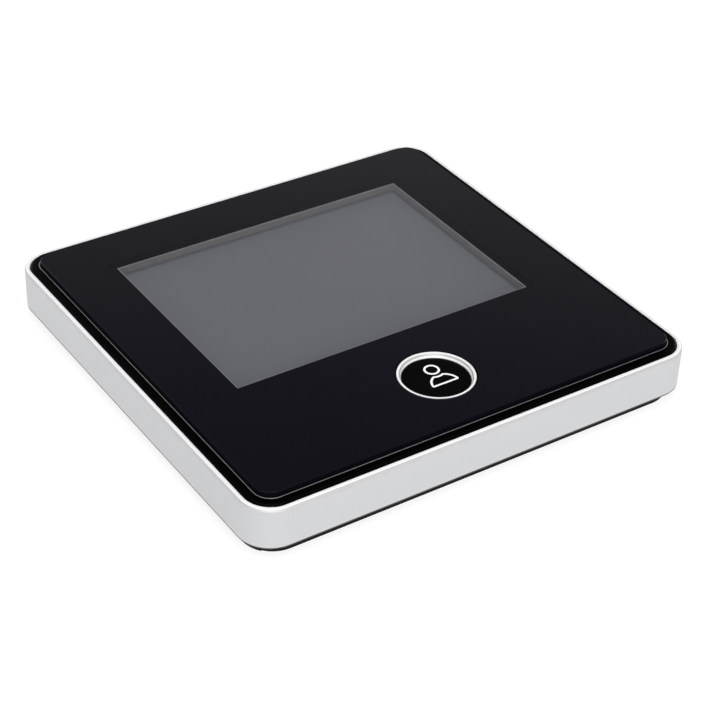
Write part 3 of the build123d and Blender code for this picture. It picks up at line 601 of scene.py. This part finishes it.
# Rear cover and battery door: spark-textured black plastic
rear = {"tone": 0.0075, "wornShare": 2.1, "roughness": 0.5, "grain": 3.4, "gloss": 0.05}
spark = nodeFinish("rearBlack")
spot = spark.place()
pits = spark.cells(spot, rear["grain"], "SMOOTH_F1")
fine = spark.noise(spot, rear["grain"] * 2, 2, 0.6)
rubPattern = spark.noise(spark.stretched(spot, (0.05, 0.02, 0.05)), 1, 4, 0.6)
rub = spark.rise(rubPattern, 0.45, 0.8)
edgeWear = spark.rise(spark.node("ShaderNodeNewGeometry", output="Pointiness"), 0.52, 0.56)
worn = (rub * 0.5 + edgeWear * 0.5).least(1)
wornBlack = grey(rear["tone"] * rear["wornShare"], (1, 1, 1.04))
dress(spark.finished(spark.shader(
    Base_Color=spark.mixed(worn, grey(rear["tone"]), wornBlack),
    Roughness=rear["roughness"] + 0.12 * fine - 0.1 * rub,
    Specular_IOR_Level=rear["gloss"],
    Normal=spark.bump(pits + fine * 0.5, 0.035, 0.5),
)), "rear_cover", "battery_door")


# Battery cells and their contacts. The At values are shares of a cell's length
cell = {
    "count": 3,
    "blue": (0.035, 0.075, 0.16),
    "copper": (0.62, 0.38, 0.13),
    "steel": grey(0.62, (1, 0.98, 0.95)),
    "shoulderAt": 0.72,
    "stripeAt": (0.69, 0.705),
    "plusAt": 0.88,
    "minusAt": 0.08,
    "negativeEnd": 0.5,
    "positiveEnd": 1.5,
    "signWidth": (0.25, 0.3),
    "signLength": (1.2, 1.25),
    "signHeight": (4, 4.5),
}


# The middle cell lies the other way round
def cellPlace(index):
    low, high = boxOf(f"battery_cell_{index + 1}")
    return low, high, index == 1


# One straight stroke of a sign, from the distances across it and along it
def stroke(finish, across, along):
    return finish.fall(across, *cell["signWidth"]) * finish.fall(along, *cell["signLength"])


for index in range(cell["count"]):
    low, high, turned = cellPlace(index)
    length = high.x - low.x
    wrap = nodeFinish(f"cellWrap{index + 1}")
    spot = wrap.place()
    x, y, z = wrap.parts(spot)
    along = (high.x - x) if turned else (x - low.x)  # from the negative end
    steelStart = length - cell["positiveEnd"]
    steelEnds = (
        wrap.fall(along, cell["negativeEnd"], cell["negativeEnd"] + 0.06)
        + wrap.rise(along, steelStart, steelStart + 0.05)
    )
    shoulderStart = length * cell["shoulderAt"]
    shoulder = wrap.rise(along, shoulderStart, shoulderStart + 0.1)
    stripe = wrap.band(along, *(length * share for share in cell["stripeAt"]), 0.05)
    scuff = wrap.noise(wrap.stretched(spot, (0.2, 1, 1)), 1, 4)
    # Plus and minus signs near the ends, on the side seen with the door open
    sideways = abs(y - (low.y + high.y) / 2)
    fromPlus = abs(along - length * cell["plusAt"])
    fromMinus = abs(along - length * cell["minusAt"])
    plus = stroke(wrap, sideways, fromPlus).most(stroke(wrap, fromPlus, sideways))
    signs = (plus + stroke(wrap, fromMinus, sideways)).least(1)
    cover = wrap.mixed(shoulder, cell["blue"], cell["copper"])
    cover = wrap.mixed(stripe, cover, grey(0.75))
    cover = wrap.mixed(signs * wrap.fall(z, *cell["signHeight"]), cover, grey(0.8))
    cover = wrap.mixed(scuff * 0.25, cover, grey(0.3))
    dress(wrap.finished(wrap.shader(
        Base_Color=wrap.mixed(steelEnds.least(1), cover, cell["steel"]),
        Metallic=(steelEnds + shoulder * 0.5).least(1) * 0.9,
        Roughness=0.22 + 0.15 * scuff,
        Normal=wrap.bump(scuff, 0.01, 0.3),
    )), f"battery_cell_{index + 1}")

nickel = nodeFinish("contactNickel")
drawn = nickel.noise(nickel.stretched(nickel.place(), (3, 3, 0.6)), 1, 4)
contactNickel = nickel.finished(nickel.shader(
    Base_Color=nickel.mixed(drawn, (0.58, 0.56, 0.51), (0.72, 0.70, 0.65)),
    Metallic=1.0,
    Roughness=0.22 + 0.15 * drawn,
    Normal=nickel.bump(drawn, 0.01, 0.3),
))
dress(contactNickel, "spring_contacts", "button_contacts", "contact_springs")
print("back and cells finished")


# Button. Its ring has painted highlights: a bright flat top and a bright line at the foot of its
# inner side
ring = {
    "tones": (0.52, 0.60),
    "highlightTone": 0.97,
    "flat": (0.12, 0.06),
    "innerHighlightLine": (0.59, 0.49),
    "edge": (0.2, 0.14),
    "edgeShadeTone": 0.02,
}
low, high = boxOf("button_ring")
chrome = nodeFinish("ringChrome")
spot = chrome.place()
z = chrome.parts(spot)[2]
polish = chrome.noise(spot, 1.4, 3)
outward = chrome.fromAxis(spot, (low.x + high.x) / 2, (low.y + high.y) / 2)
# Painted highlights on the flat top and at the foot of the inner side
flatTop = chrome.rise(z, *(high.z - depth for depth in ring["flat"]))
innerHighlightLine = chrome.fall(z, *(high.z - depth for depth in ring["innerHighlightLine"]))
bright = flatTop.most(innerHighlightLine)
# Painted shade: the outer edge of the ring is painted near black
ringEdgeShade = chrome.rise(outward, *((high.x - low.x) / 2 - inset for inset in ring["edge"]))
plating = chrome.mixed(polish, *(grey(tone) for tone in ring["tones"]))
plating = chrome.mixed(bright, plating, grey(ring["highlightTone"]))
dress(chrome.finished(chrome.shader(
    Base_Color=chrome.mixed(ringEdgeShade, plating, grey(ring["edgeShadeTone"])),
    Metallic=0.3 - 0.2 * bright,
    Roughness=0.38 + 0.08 * polish,
    Normal=chrome.bump(chrome.noise(spot, 6, 2), 0.002, 0.2),
)), "button_ring")

cap = nodeFinish("buttonBlack")
spot = cap.place()
touched = cap.noise(spot, 0.8, 3)
dress(cap.finished(cap.shader(
    Base_Color=cap.mixed(touched, grey(0.0005), grey(0.0012)),
    Roughness=0.3 + 0.1 * touched,
    Specular_IOR_Level=0.03,
    Normal=cap.bump(cap.noise(spot, 5, 2), 0.002, 0.2),
)), "button_cap")

keys = nodeFinish("switchBlack")
moulded = keys.noise(keys.place(), 6, 3)
dress(keys.finished(keys.shader(
    Base_Color=keys.mixed(moulded, grey(0.012), grey(0.028)),
    Roughness=0.5 + 0.1 * moulded,
    Normal=keys.bump(moulded, 0.015, 0.4),
)), "push_switch", "switch_plunger")


# Speaker
steel = nodeFinish("speakerSteel")
brushed = steel.noise(steel.stretched(steel.place(), (1, 1, 6)), 1.6, 4)
dress(steel.finished(steel.shader(
    Base_Color=steel.mixed(brushed, grey(0.34), grey(0.46, (1, 0.99, 0.96))),
    Metallic=0.9,
    Roughness=0.35 + 0.15 * brushed,
    Normal=steel.bump(brushed, 0.012, 0.4),
)), "speaker_basket")

low, high = boxOf("speaker_cone")
cone = nodeFinish("conePaper")
spot = cone.place()
ripple = (cone.fromAxis(spot, (low.x + high.x) / 2, (low.y + high.y) / 2) * 2.6).sine()
pulp = cone.noise(spot, 3, 4, 0.7)
dress(cone.finished(cone.shader(
    Base_Color=cone.mixed(pulp, grey(0.018), grey(0.045, (1, 0.98, 0.95))),
    Roughness=0.75,
    Normal=cone.bump(ripple * 0.5 + pulp * 0.3, 0.12, 0.6),
)), "speaker_cone")

magnet = nodeFinish("magnetGrey")
plated = magnet.noise(magnet.place(), 2.2, 4)
dress(magnet.finished(magnet.shader(
    Base_Color=magnet.mixed(plated, grey(0.30), grey(0.42)),
    Metallic=0.85,
    Roughness=0.3 + 0.15 * plated,
    Normal=magnet.bump(plated, 0.01, 0.3),
)), "speaker_magnet")


# Screws
def screwFinish(name, dark, bright):
    zinc = nodeFinish(name)
    turnedMarks = zinc.noise(zinc.stretched(zinc.place(), (2, 2, 9)), 1.5, 4)
    return zinc.finished(zinc.shader(
        Base_Color=zinc.mixed(turnedMarks, dark, bright),
        Metallic=0.9,
        Roughness=0.32 + 0.2 * turnedMarks,
        Normal=zinc.bump(turnedMarks, 0.015, 0.4),
    ))


blackZinc = screwFinish("screwBlack", grey(0.02), grey(0.05, (1, 1, 1.06)))
brightZinc = screwFinish("screwSteel", grey(0.48), grey(0.66, (1, 0.99, 0.94)))
dress(blackZinc, "case_screws")
dress(brightZinc, "board_screws", "button_screws")
print("materials given to every node")


def editMode():
    bpy.ops.object.mode_set(mode="EDIT")


def objectMode():
    bpy.ops.object.mode_set(mode="OBJECT")


def pickOnly(*pieces):
    deselectAll()
    for piece in pieces:
        piece.select_set(True)
    bpy.context.view_layer.objects.active = pieces[0]


def editAll(piece):
    pickOnly(piece)
    editMode()
    bpy.ops.mesh.select_all(action="SELECT")


# Selects the faces, edges or vertices that pass a test on their middle in millimetres.
# A face's test is given its normal too
def selectWhere(piece, test, part="FACE"):
    editMode()
    bpy.ops.mesh.select_mode(type=part)
    bpy.ops.mesh.select_all(action="DESELECT")
    objectMode()
    mesh = piece.data
    if part == "FACE":
        for face in mesh.polygons:
            face.select = test(face.center / mm, face.normal)
    elif part == "EDGE":
        for line in mesh.edges:
            first, last = (mesh.vertices[index].co / mm for index in line.vertices)
            line.select = test((first + last) / 2)
    else:
        for vertex in mesh.vertices:
            vertex.select = test(vertex.co / mm)
    editMode()


def outwardNormals():
    bpy.ops.mesh.select_all(action="SELECT")
    bpy.ops.mesh.normals_make_consistent(inside=False)


def extruded(x, y, z):
    bpy.ops.mesh.extrude_region_move(
        TRANSFORM_OT_translate={"value": (x * mm, y * mm, z * mm)}
    )


def bevelled(width, segments, part="EDGES"):
    bpy.ops.mesh.bevel(offset=width * mm, segments=segments, affect=part)
    objectMode()


def applyModifier(piece, kind, **settings):
    pickOnly(piece)
    modifier = piece.modifiers.new(kind.title(), kind)
    for key, value in settings.items():
        setattr(modifier, key, value)
    bpy.ops.object.modifier_apply(modifier=modifier.name)


def cutAway(piece, cutter):
    applyModifier(piece, "BOOLEAN", object=cutter, operation="DIFFERENCE", solver="EXACT")
    bpy.data.objects.remove(cutter)


def applied(piece):
    pickOnly(piece)
    bpy.ops.object.transform_apply(location=True, rotation=True, scale=True)
    return piece


def joined(*pieces):
    pickOnly(*pieces)
    bpy.ops.object.join()
    return pieces[0]


def smoothed(piece, angle):
    pickOnly(piece)
    bpy.ops.object.shade_smooth_by_angle(angle=radians(angle))


def copied(piece, shift, turn):
    twin = piece.copy()
    twin.data = piece.data.copy()
    bpy.context.scene.collection.objects.link(twin)
    twin.data.transform(Matrix.Rotation(turn, 4, "Z"))
    twin.data.transform(Matrix.Translation(Vector(shift) * mm))
    return twin


def mounted(piece, name, body, slotName, material, *replaced):
    piece.name = name
    piece.data.name = name
    piece.data.materials.clear()
    piece.data.materials.append(material)
    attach(piece, body)
    if replaced:
        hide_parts(*replaced)
    print("made", name, len(piece.data.polygons), "faces")


def flatPlate(width, height, x, y, z):
    deselectAll()
    bpy.ops.mesh.primitive_plane_add(size=mm, location=(x * mm, y * mm, z * mm))
    bpy.context.object.scale = (width, height, 1)
    return applied(bpy.context.object)


def disc(radius, x, y, z, corners):
    deselectAll()
    bpy.ops.mesh.primitive_circle_add(
        vertices=corners, radius=radius * mm, fill_type="NGON", location=(x * mm, y * mm, z * mm)
    )
    return applied(bpy.context.object)


def cylinder(radius, low, high, x, y, corners):
    deselectAll()
    bpy.ops.mesh.primitive_cylinder_add(
        vertices=corners, radius=radius * mm, depth=(high - low) * mm,
        location=(x * mm, y * mm, (low + high) / 2 * mm),
    )
    return applied(bpy.context.object)


def block(width, depth, height, x, y, z):
    deselectAll()
    bpy.ops.mesh.primitive_cube_add(size=mm, location=(x * mm, y * mm, z * mm))
    bpy.context.object.scale = (width, depth, height)
    return applied(bpy.context.object)


# Turns a flat face into a closed strip of the given width along its outline
def outlined(piece, width, height):
    editAll(piece)
    bpy.ops.mesh.inset(thickness=width * mm, use_even_offset=True)
    bpy.ops.mesh.delete(type="FACE")
    bpy.ops.mesh.select_all(action="SELECT")
    extruded(0, 0, height)
    outwardNormals()
    objectMode()


# Printed film behind the clear plate: black, with a fine grey line round the window
printFilm = {
    "reach": 5.0,
    "lift": 0.012,
    "thickness": 0.01,
    "blackInk": ((0.0030, 0.0026, 0.0056), (0.0046, 0.0040, 0.0078)),
    "line": grey(0.27, (1, 1, 1.06)),
    "lineEdge": (0.25, 0.28),
}
printSheet = flatPlate(
    2 * (window["halfWidth"] + printFilm["reach"]),
    2 * (window["halfHeight"] + printFilm["reach"]),
    window["x"], window["y"], panelLow.z + printFilm["lift"],
)
outlined(printSheet, printFilm["reach"], printFilm["thickness"])
inkCoat = nodeFinish("printedInk")
spot = inkCoat.place()
windowLine = inkCoat.fall(outsideWindow(*inkCoat.parts(spot)[:2]), *printFilm["lineEdge"])
screenMarks = inkCoat.noise(spot, 6, 2)
black = inkCoat.mixed(screenMarks, *printFilm["blackInk"])
mounted(printSheet, "windowPrint", "unit", "black_film", inkCoat.finished(inkCoat.shader(
    Base_Color=inkCoat.mixed(windowLine, black, printFilm["line"]),
    Roughness=0.4 + 0.1 * screenMarks,
    Specular_IOR_Level=0.0,
)))


# Fine silver bead on the bezel, round the panel. It stands in for the highlight along the bezel's
# edge there, so its grey is a painted highlight
bead = {
    "gap": 0.22,
    "width": 0.24,
    "height": 0.09,
    "sunk": 0.01,
    "rounding": 0.05,
    "panelCorner": 4.08,
    "segments": 14,
    "tones": (0.36, 0.47),
}
bezelTop = boxOf("front_bezel")[1].z
offset = bead["gap"] + bead["width"]
trim = flatPlate(
    panelHigh.x - panelLow.x + 2 * offset, panelHigh.y - panelLow.y + 2 * offset,
    0, 0, bezelTop - bead["sunk"],
)
editAll(trim)
bevelled(bead["panelCorner"] + offset, bead["segments"], "VERTICES")
outlined(trim, bead["width"], bead["height"])
selectWhere(trim, lambda middle: middle.z > bezelTop, "EDGE")
bevelled(bead["rounding"], 3)
smoothed(trim, 60)
polished = nodeFinish("beadHighlightSilver")
rubbed = polished.noise(polished.place(), 2, 3)
mounted(trim, "bezelBead", "unit", "satin_silver", polished.finished(polished.shader(
    Base_Color=polished.mixed(rubbed, *(grey(tone) for tone in bead["tones"])),
    Metallic=1.0,
    Roughness=0.38 + 0.1 * rubbed,
)))


# Pictogram on the button: an outlined head and shoulders, printed slightly proud
low, high = boxOf("button_cap")
mark = {
    "stroke": 0.54,
    "proud": 0.03,
    "sunk": 0.01,
    "head": (1.0, 3.33),
    "headRadius": 1.99,
    "headCorners": 96,
    "shoulders": (0.95, -2.88),
    "shouldersSize": (3.78, 3.98),
    "shouldersCorners": 44,
    "notchRadius": 2.78,
    "notchCorners": 64,
    "cornerRound": 0.45,
}
capX, capY = (low.x + high.x) / 2, (low.y + high.y) / 2
headX, headY = capX + mark["head"][0], capY + mark["head"][1]
baseX, baseY = capX + mark["shoulders"][0], capY + mark["shoulders"][1]
markFoot = high.z - mark["sunk"]
markHeight = mark["proud"] + mark["sunk"]
head = disc(mark["headRadius"], headX, headY, markFoot, mark["headCorners"])
outlined(head, mark["stroke"], markHeight)
# The shoulders are half an oval, cut back round the head
shoulders = disc(1, 0, 0, 0, mark["shouldersCorners"])
shoulders.scale = (*mark["shouldersSize"], 1)
shoulders.location = (baseX * mm, baseY * mm, markFoot * mm)
applied(shoulders)
editAll(shoulders)
bpy.ops.mesh.bisect(plane_co=(0, baseY * mm, 0), plane_no=(0, 1, 0), clear_inner=True)
bpy.ops.mesh.select_all(action="SELECT")
extruded(0, 0, -1)
outwardNormals()
objectMode()
cutAway(shoulders, cylinder(
    mark["notchRadius"], high.z - 2, high.z + 1, headX, headY, mark["notchCorners"]
))
selectWhere(shoulders, lambda middle, normal: normal.z < 0.9)
bpy.ops.mesh.delete(type="FACE")
objectMode()
selectWhere(shoulders, lambda corner: corner.y < baseY + 0.01, "VERT")
bevelled(mark["cornerRound"], 6, "VERTICES")
outlined(shoulders, mark["stroke"], markHeight)
whiteInk = nodeFinish("pictogramGlowWhite")
inkGrain = whiteInk.noise(whiteInk.place(), 5, 3)
# The white ink is given a faint glow of its own, which is painted light
pictogramGlowWhite = whiteInk.finished(whiteInk.shader(
    Base_Color=whiteInk.mixed(inkGrain, grey(0.88), grey(0.96)),
    Roughness=0.5 + 0.1 * inkGrain,
    Emission_Color=grey(1.0),
    Emission_Strength=0.12,
))
mounted(joined(head, shoulders), "buttonPictogram", "button", "light_guide", pictogramGlowWhite)


# Screws: cross-recessed heads with rounded edges, and rolled threads on the shanks
screwShape = {
    "headRadius": 1.88,
    "headHeight": 1.3,
    "headCorners": 40,
    "headRounding": 0.3,
    "crossReach": 1.15,
    "crossWidth": 0.42,
    "crossDepth": 0.75,
    "crossTaper": 0.55,
    "cutterSpare": 0.4,
    "core": 0.80,
    "shankCorners": 24,
    "sunk": 0.05,
    "tipRounding": 0.25,
    "thread": 0.97,
    "ridge": 0.2,
    "pitch": 0.62,
    "steps": 16,
    "threadStart": 0.35,
    "bareLength": 0.9,
    "apart": 5,
}


# One screw along Z. The head's outer face is at faceZ and the shank ends at tipZ
def screw(x, y, faceZ, seatZ, tipZ):
    shape = screwShape
    out = 1 if faceZ > seatZ else -1
    headLow, headHigh = sorted((faceZ, seatZ))
    head = cylinder(shape["headRadius"], headLow, headHigh, x, y, shape["headCorners"])
    selectWhere(head, lambda middle: abs(middle.z - faceZ) < 0.01, "EDGE")
    bevelled(shape["headRounding"], 4)
    cutterFoot = faceZ - out * shape["crossDepth"]
    cutterHeight = shape["crossDepth"] + shape["cutterSpare"]
    long, narrow = 2 * shape["crossReach"], shape["crossWidth"]
    for width, depth in ((long, narrow), (narrow, long)):
        arm = block(width, depth, cutterHeight, x, y, cutterFoot + out * cutterHeight / 2)
        selectWhere(arm, lambda middle, normal: abs(middle.z - cutterFoot) < 0.01)
        bpy.ops.transform.resize(value=(shape["crossTaper"], shape["crossTaper"], 1))
        objectMode()
        cutAway(head, arm)
    shankLow, shankHigh = sorted((seatZ, tipZ))
    shank = cylinder(
        shape["core"], shankLow - shape["sunk"], shankHigh, x, y, shape["shankCorners"]
    )
    selectWhere(shank, lambda middle: abs(middle.z - tipZ) < shape["sunk"] + 0.01, "EDGE")
    bevelled(shape["tipRounding"], 2)
    # Thread: a small triangle wound round the shank
    deselectAll()
    bpy.ops.mesh.primitive_circle_add(
        vertices=3, radius=shape["ridge"] * mm, fill_type="NOTHING",
        location=((shape["thread"] - shape["ridge"]) * mm, 0, 0), rotation=(pi / 2, pi / 2, 0),
    )
    ridge = applied(bpy.context.object)
    turns = int((shankHigh - shankLow - shape["bareLength"]) / shape["pitch"])
    applyModifier(
        ridge, "SCREW", angle=2 * pi, screw_offset=shape["pitch"] * mm, iterations=turns,
        steps=shape["steps"], render_steps=shape["steps"], axis="Z", use_smooth_shade=True,
    )
    editAll(ridge)
    bpy.ops.mesh.select_all(action="DESELECT")
    bpy.ops.mesh.select_non_manifold()
    bpy.ops.mesh.fill()
    outwardNormals()
    objectMode()
    ridge.data.transform(Matrix.Translation(Vector((x, y, shankLow + shape["threadStart"])) * mm))
    return joined(head, shank, ridge)


# The places of a node's screws, seen from above: the middle of each cluster of its vertices
def screwPlaces(node):
    clusters = []
    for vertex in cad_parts[node].data.vertices:
        point = vertex.co.to_2d() / mm
        mine = [near for near in clusters if (near[0] - point).length < screwShape["apart"]]
        if mine:
            mine[0].append(point)
        else:
            clusters.append([point])
    return [
        [(min(values) + max(values)) / 2 for values in zip(*cluster)] for cluster in clusters
    ]


for node, name, faceUp, slotName, material in (
    ("case_screws", "caseScrewSet", False, "screw_black", blackZinc),
    ("board_screws", "boardScrewSet", False, "screw_steel", brightZinc),
    ("button_screws", "buttonScrewSet", True, "screw_steel", brightZinc),
):
    low, high = boxOf(node)
    faceZ, tipZ = (high.z, low.z) if faceUp else (low.z, high.z)
    seatZ = faceZ + (-1 if faceUp else 1) * screwShape["headHeight"]
    group = joined(*[screw(x, y, faceZ, seatZ, tipZ) for x, y in screwPlaces(node)])
    smoothed(group, 40)
    mounted(group, name, "unit", slotName, material, node)


# Cell springs of round wire, wound to a cone. The first and the last turns lie nearly flat,
# as on a real contact spring
winding = {
    "wire": 0.2,
    "root": 3.4,
    "tip": 2.4,
    "turns": 3,
    "perTurn": 16,
    "room": 1.7,
    "climbStart": 0.25,
    "climbLength": 0.5,
}
coils = []
for index in range(cell["count"]):
    low, high, turned = cellPlace(index)
    sign = -1 if turned else 1
    cellEnd = high.x if turned else low.x
    rootX = cellEnd - sign * (winding["room"] - winding["wire"])
    height = winding["room"] - 2 * winding["wire"]
    axisY, axisZ = (low.y + high.y) / 2, (low.z + high.z) / 2
    deselectAll()
    bpy.ops.curve.primitive_nurbs_path_add()
    wire = bpy.context.object
    wire.data.splines.clear()
    spline = wire.data.splines.new("NURBS")
    count = winding["turns"] * winding["perTurn"]
    spline.points.add(count)
    for step, point in enumerate(spline.points):
        share = step / count
        climb = min(max((share - winding["climbStart"]) / winding["climbLength"], 0), 1)
        radius = winding["root"] + (winding["tip"] - winding["root"]) * share
        turn = 2 * pi * winding["turns"] * share
        point.co = (
            (rootX + sign * height * climb) * mm,
            (axisY + radius * cos(turn)) * mm,
            (axisZ + radius * sin(turn)) * mm,
            1,
        )
    spline.order_u = 3
    spline.use_endpoint_u = True
    wire.data.bevel_depth = winding["wire"] * mm
    wire.data.bevel_resolution = 3
    wire.data.use_fill_caps = True
    pickOnly(wire)
    bpy.ops.object.convert(target="MESH")
    coils.append(wire)
springs = joined(*coils)
springs.location = (0, 0, 0)
applied(springs)
editAll(springs)
bpy.ops.mesh.remove_doubles(threshold=0.001 * mm)
outwardNormals()
objectMode()
smoothed(springs, 50)
mounted(springs, "cellSprings", "unit", "contact_nickel", contactNickel, "contact_springs")


# Leads of the two chips, soldered to the board
leads = {
    "width": 0.26,
    "thickness": 0.12,
    "pitch": 0.65,
    "height": 0.55,
    "bareEnds": 1.2,
    "steps": ((0.30, 0, 0), (0.12, 0, -0.42), (0.38, 0, -0.03)),
}
boardTop = boxOf("main_board")[1].z


# One lead, pulled out of a small block in steps: outwards, down and along the board
def oneLead():
    lead = block(leads["thickness"], leads["width"], leads["thickness"], 0, 0, leads["height"])
    for step in leads["steps"]:
        far = max(vertex.co.x for vertex in lead.data.vertices) / mm
        selectWhere(lead, lambda middle, normal: middle.x > far - 0.01 and normal.x > 0.5)
        extruded(*step)
        objectMode()
    editAll(lead)
    outwardNormals()
    objectMode()
    return lead


pattern = oneLead()
legs = []
for node, sides in (("processor", 4), ("memory_chip", 2)):
    low, high = boxOf(node)
    middle = (low + high) / 2
    halfDepth = (high.x - low.x) / 2
    count = int((high.y - low.y - leads["bareEnds"]) / leads["pitch"])
    for side in range(sides):
        turn = side * 2 * pi / sides
        for index in range(count + 1):
            along = (index - count / 2) * leads["pitch"]
            shift = Matrix.Rotation(turn, 3, "Z") @ Vector((halfDepth, along, 0))
            legs.append(copied(pattern, (middle.x + shift.x, middle.y + shift.y, boardTop), turn))
bpy.data.objects.remove(pattern)
mounted(joined(*legs), "chipLeads", "unit", "contact_nickel", contactNickel)
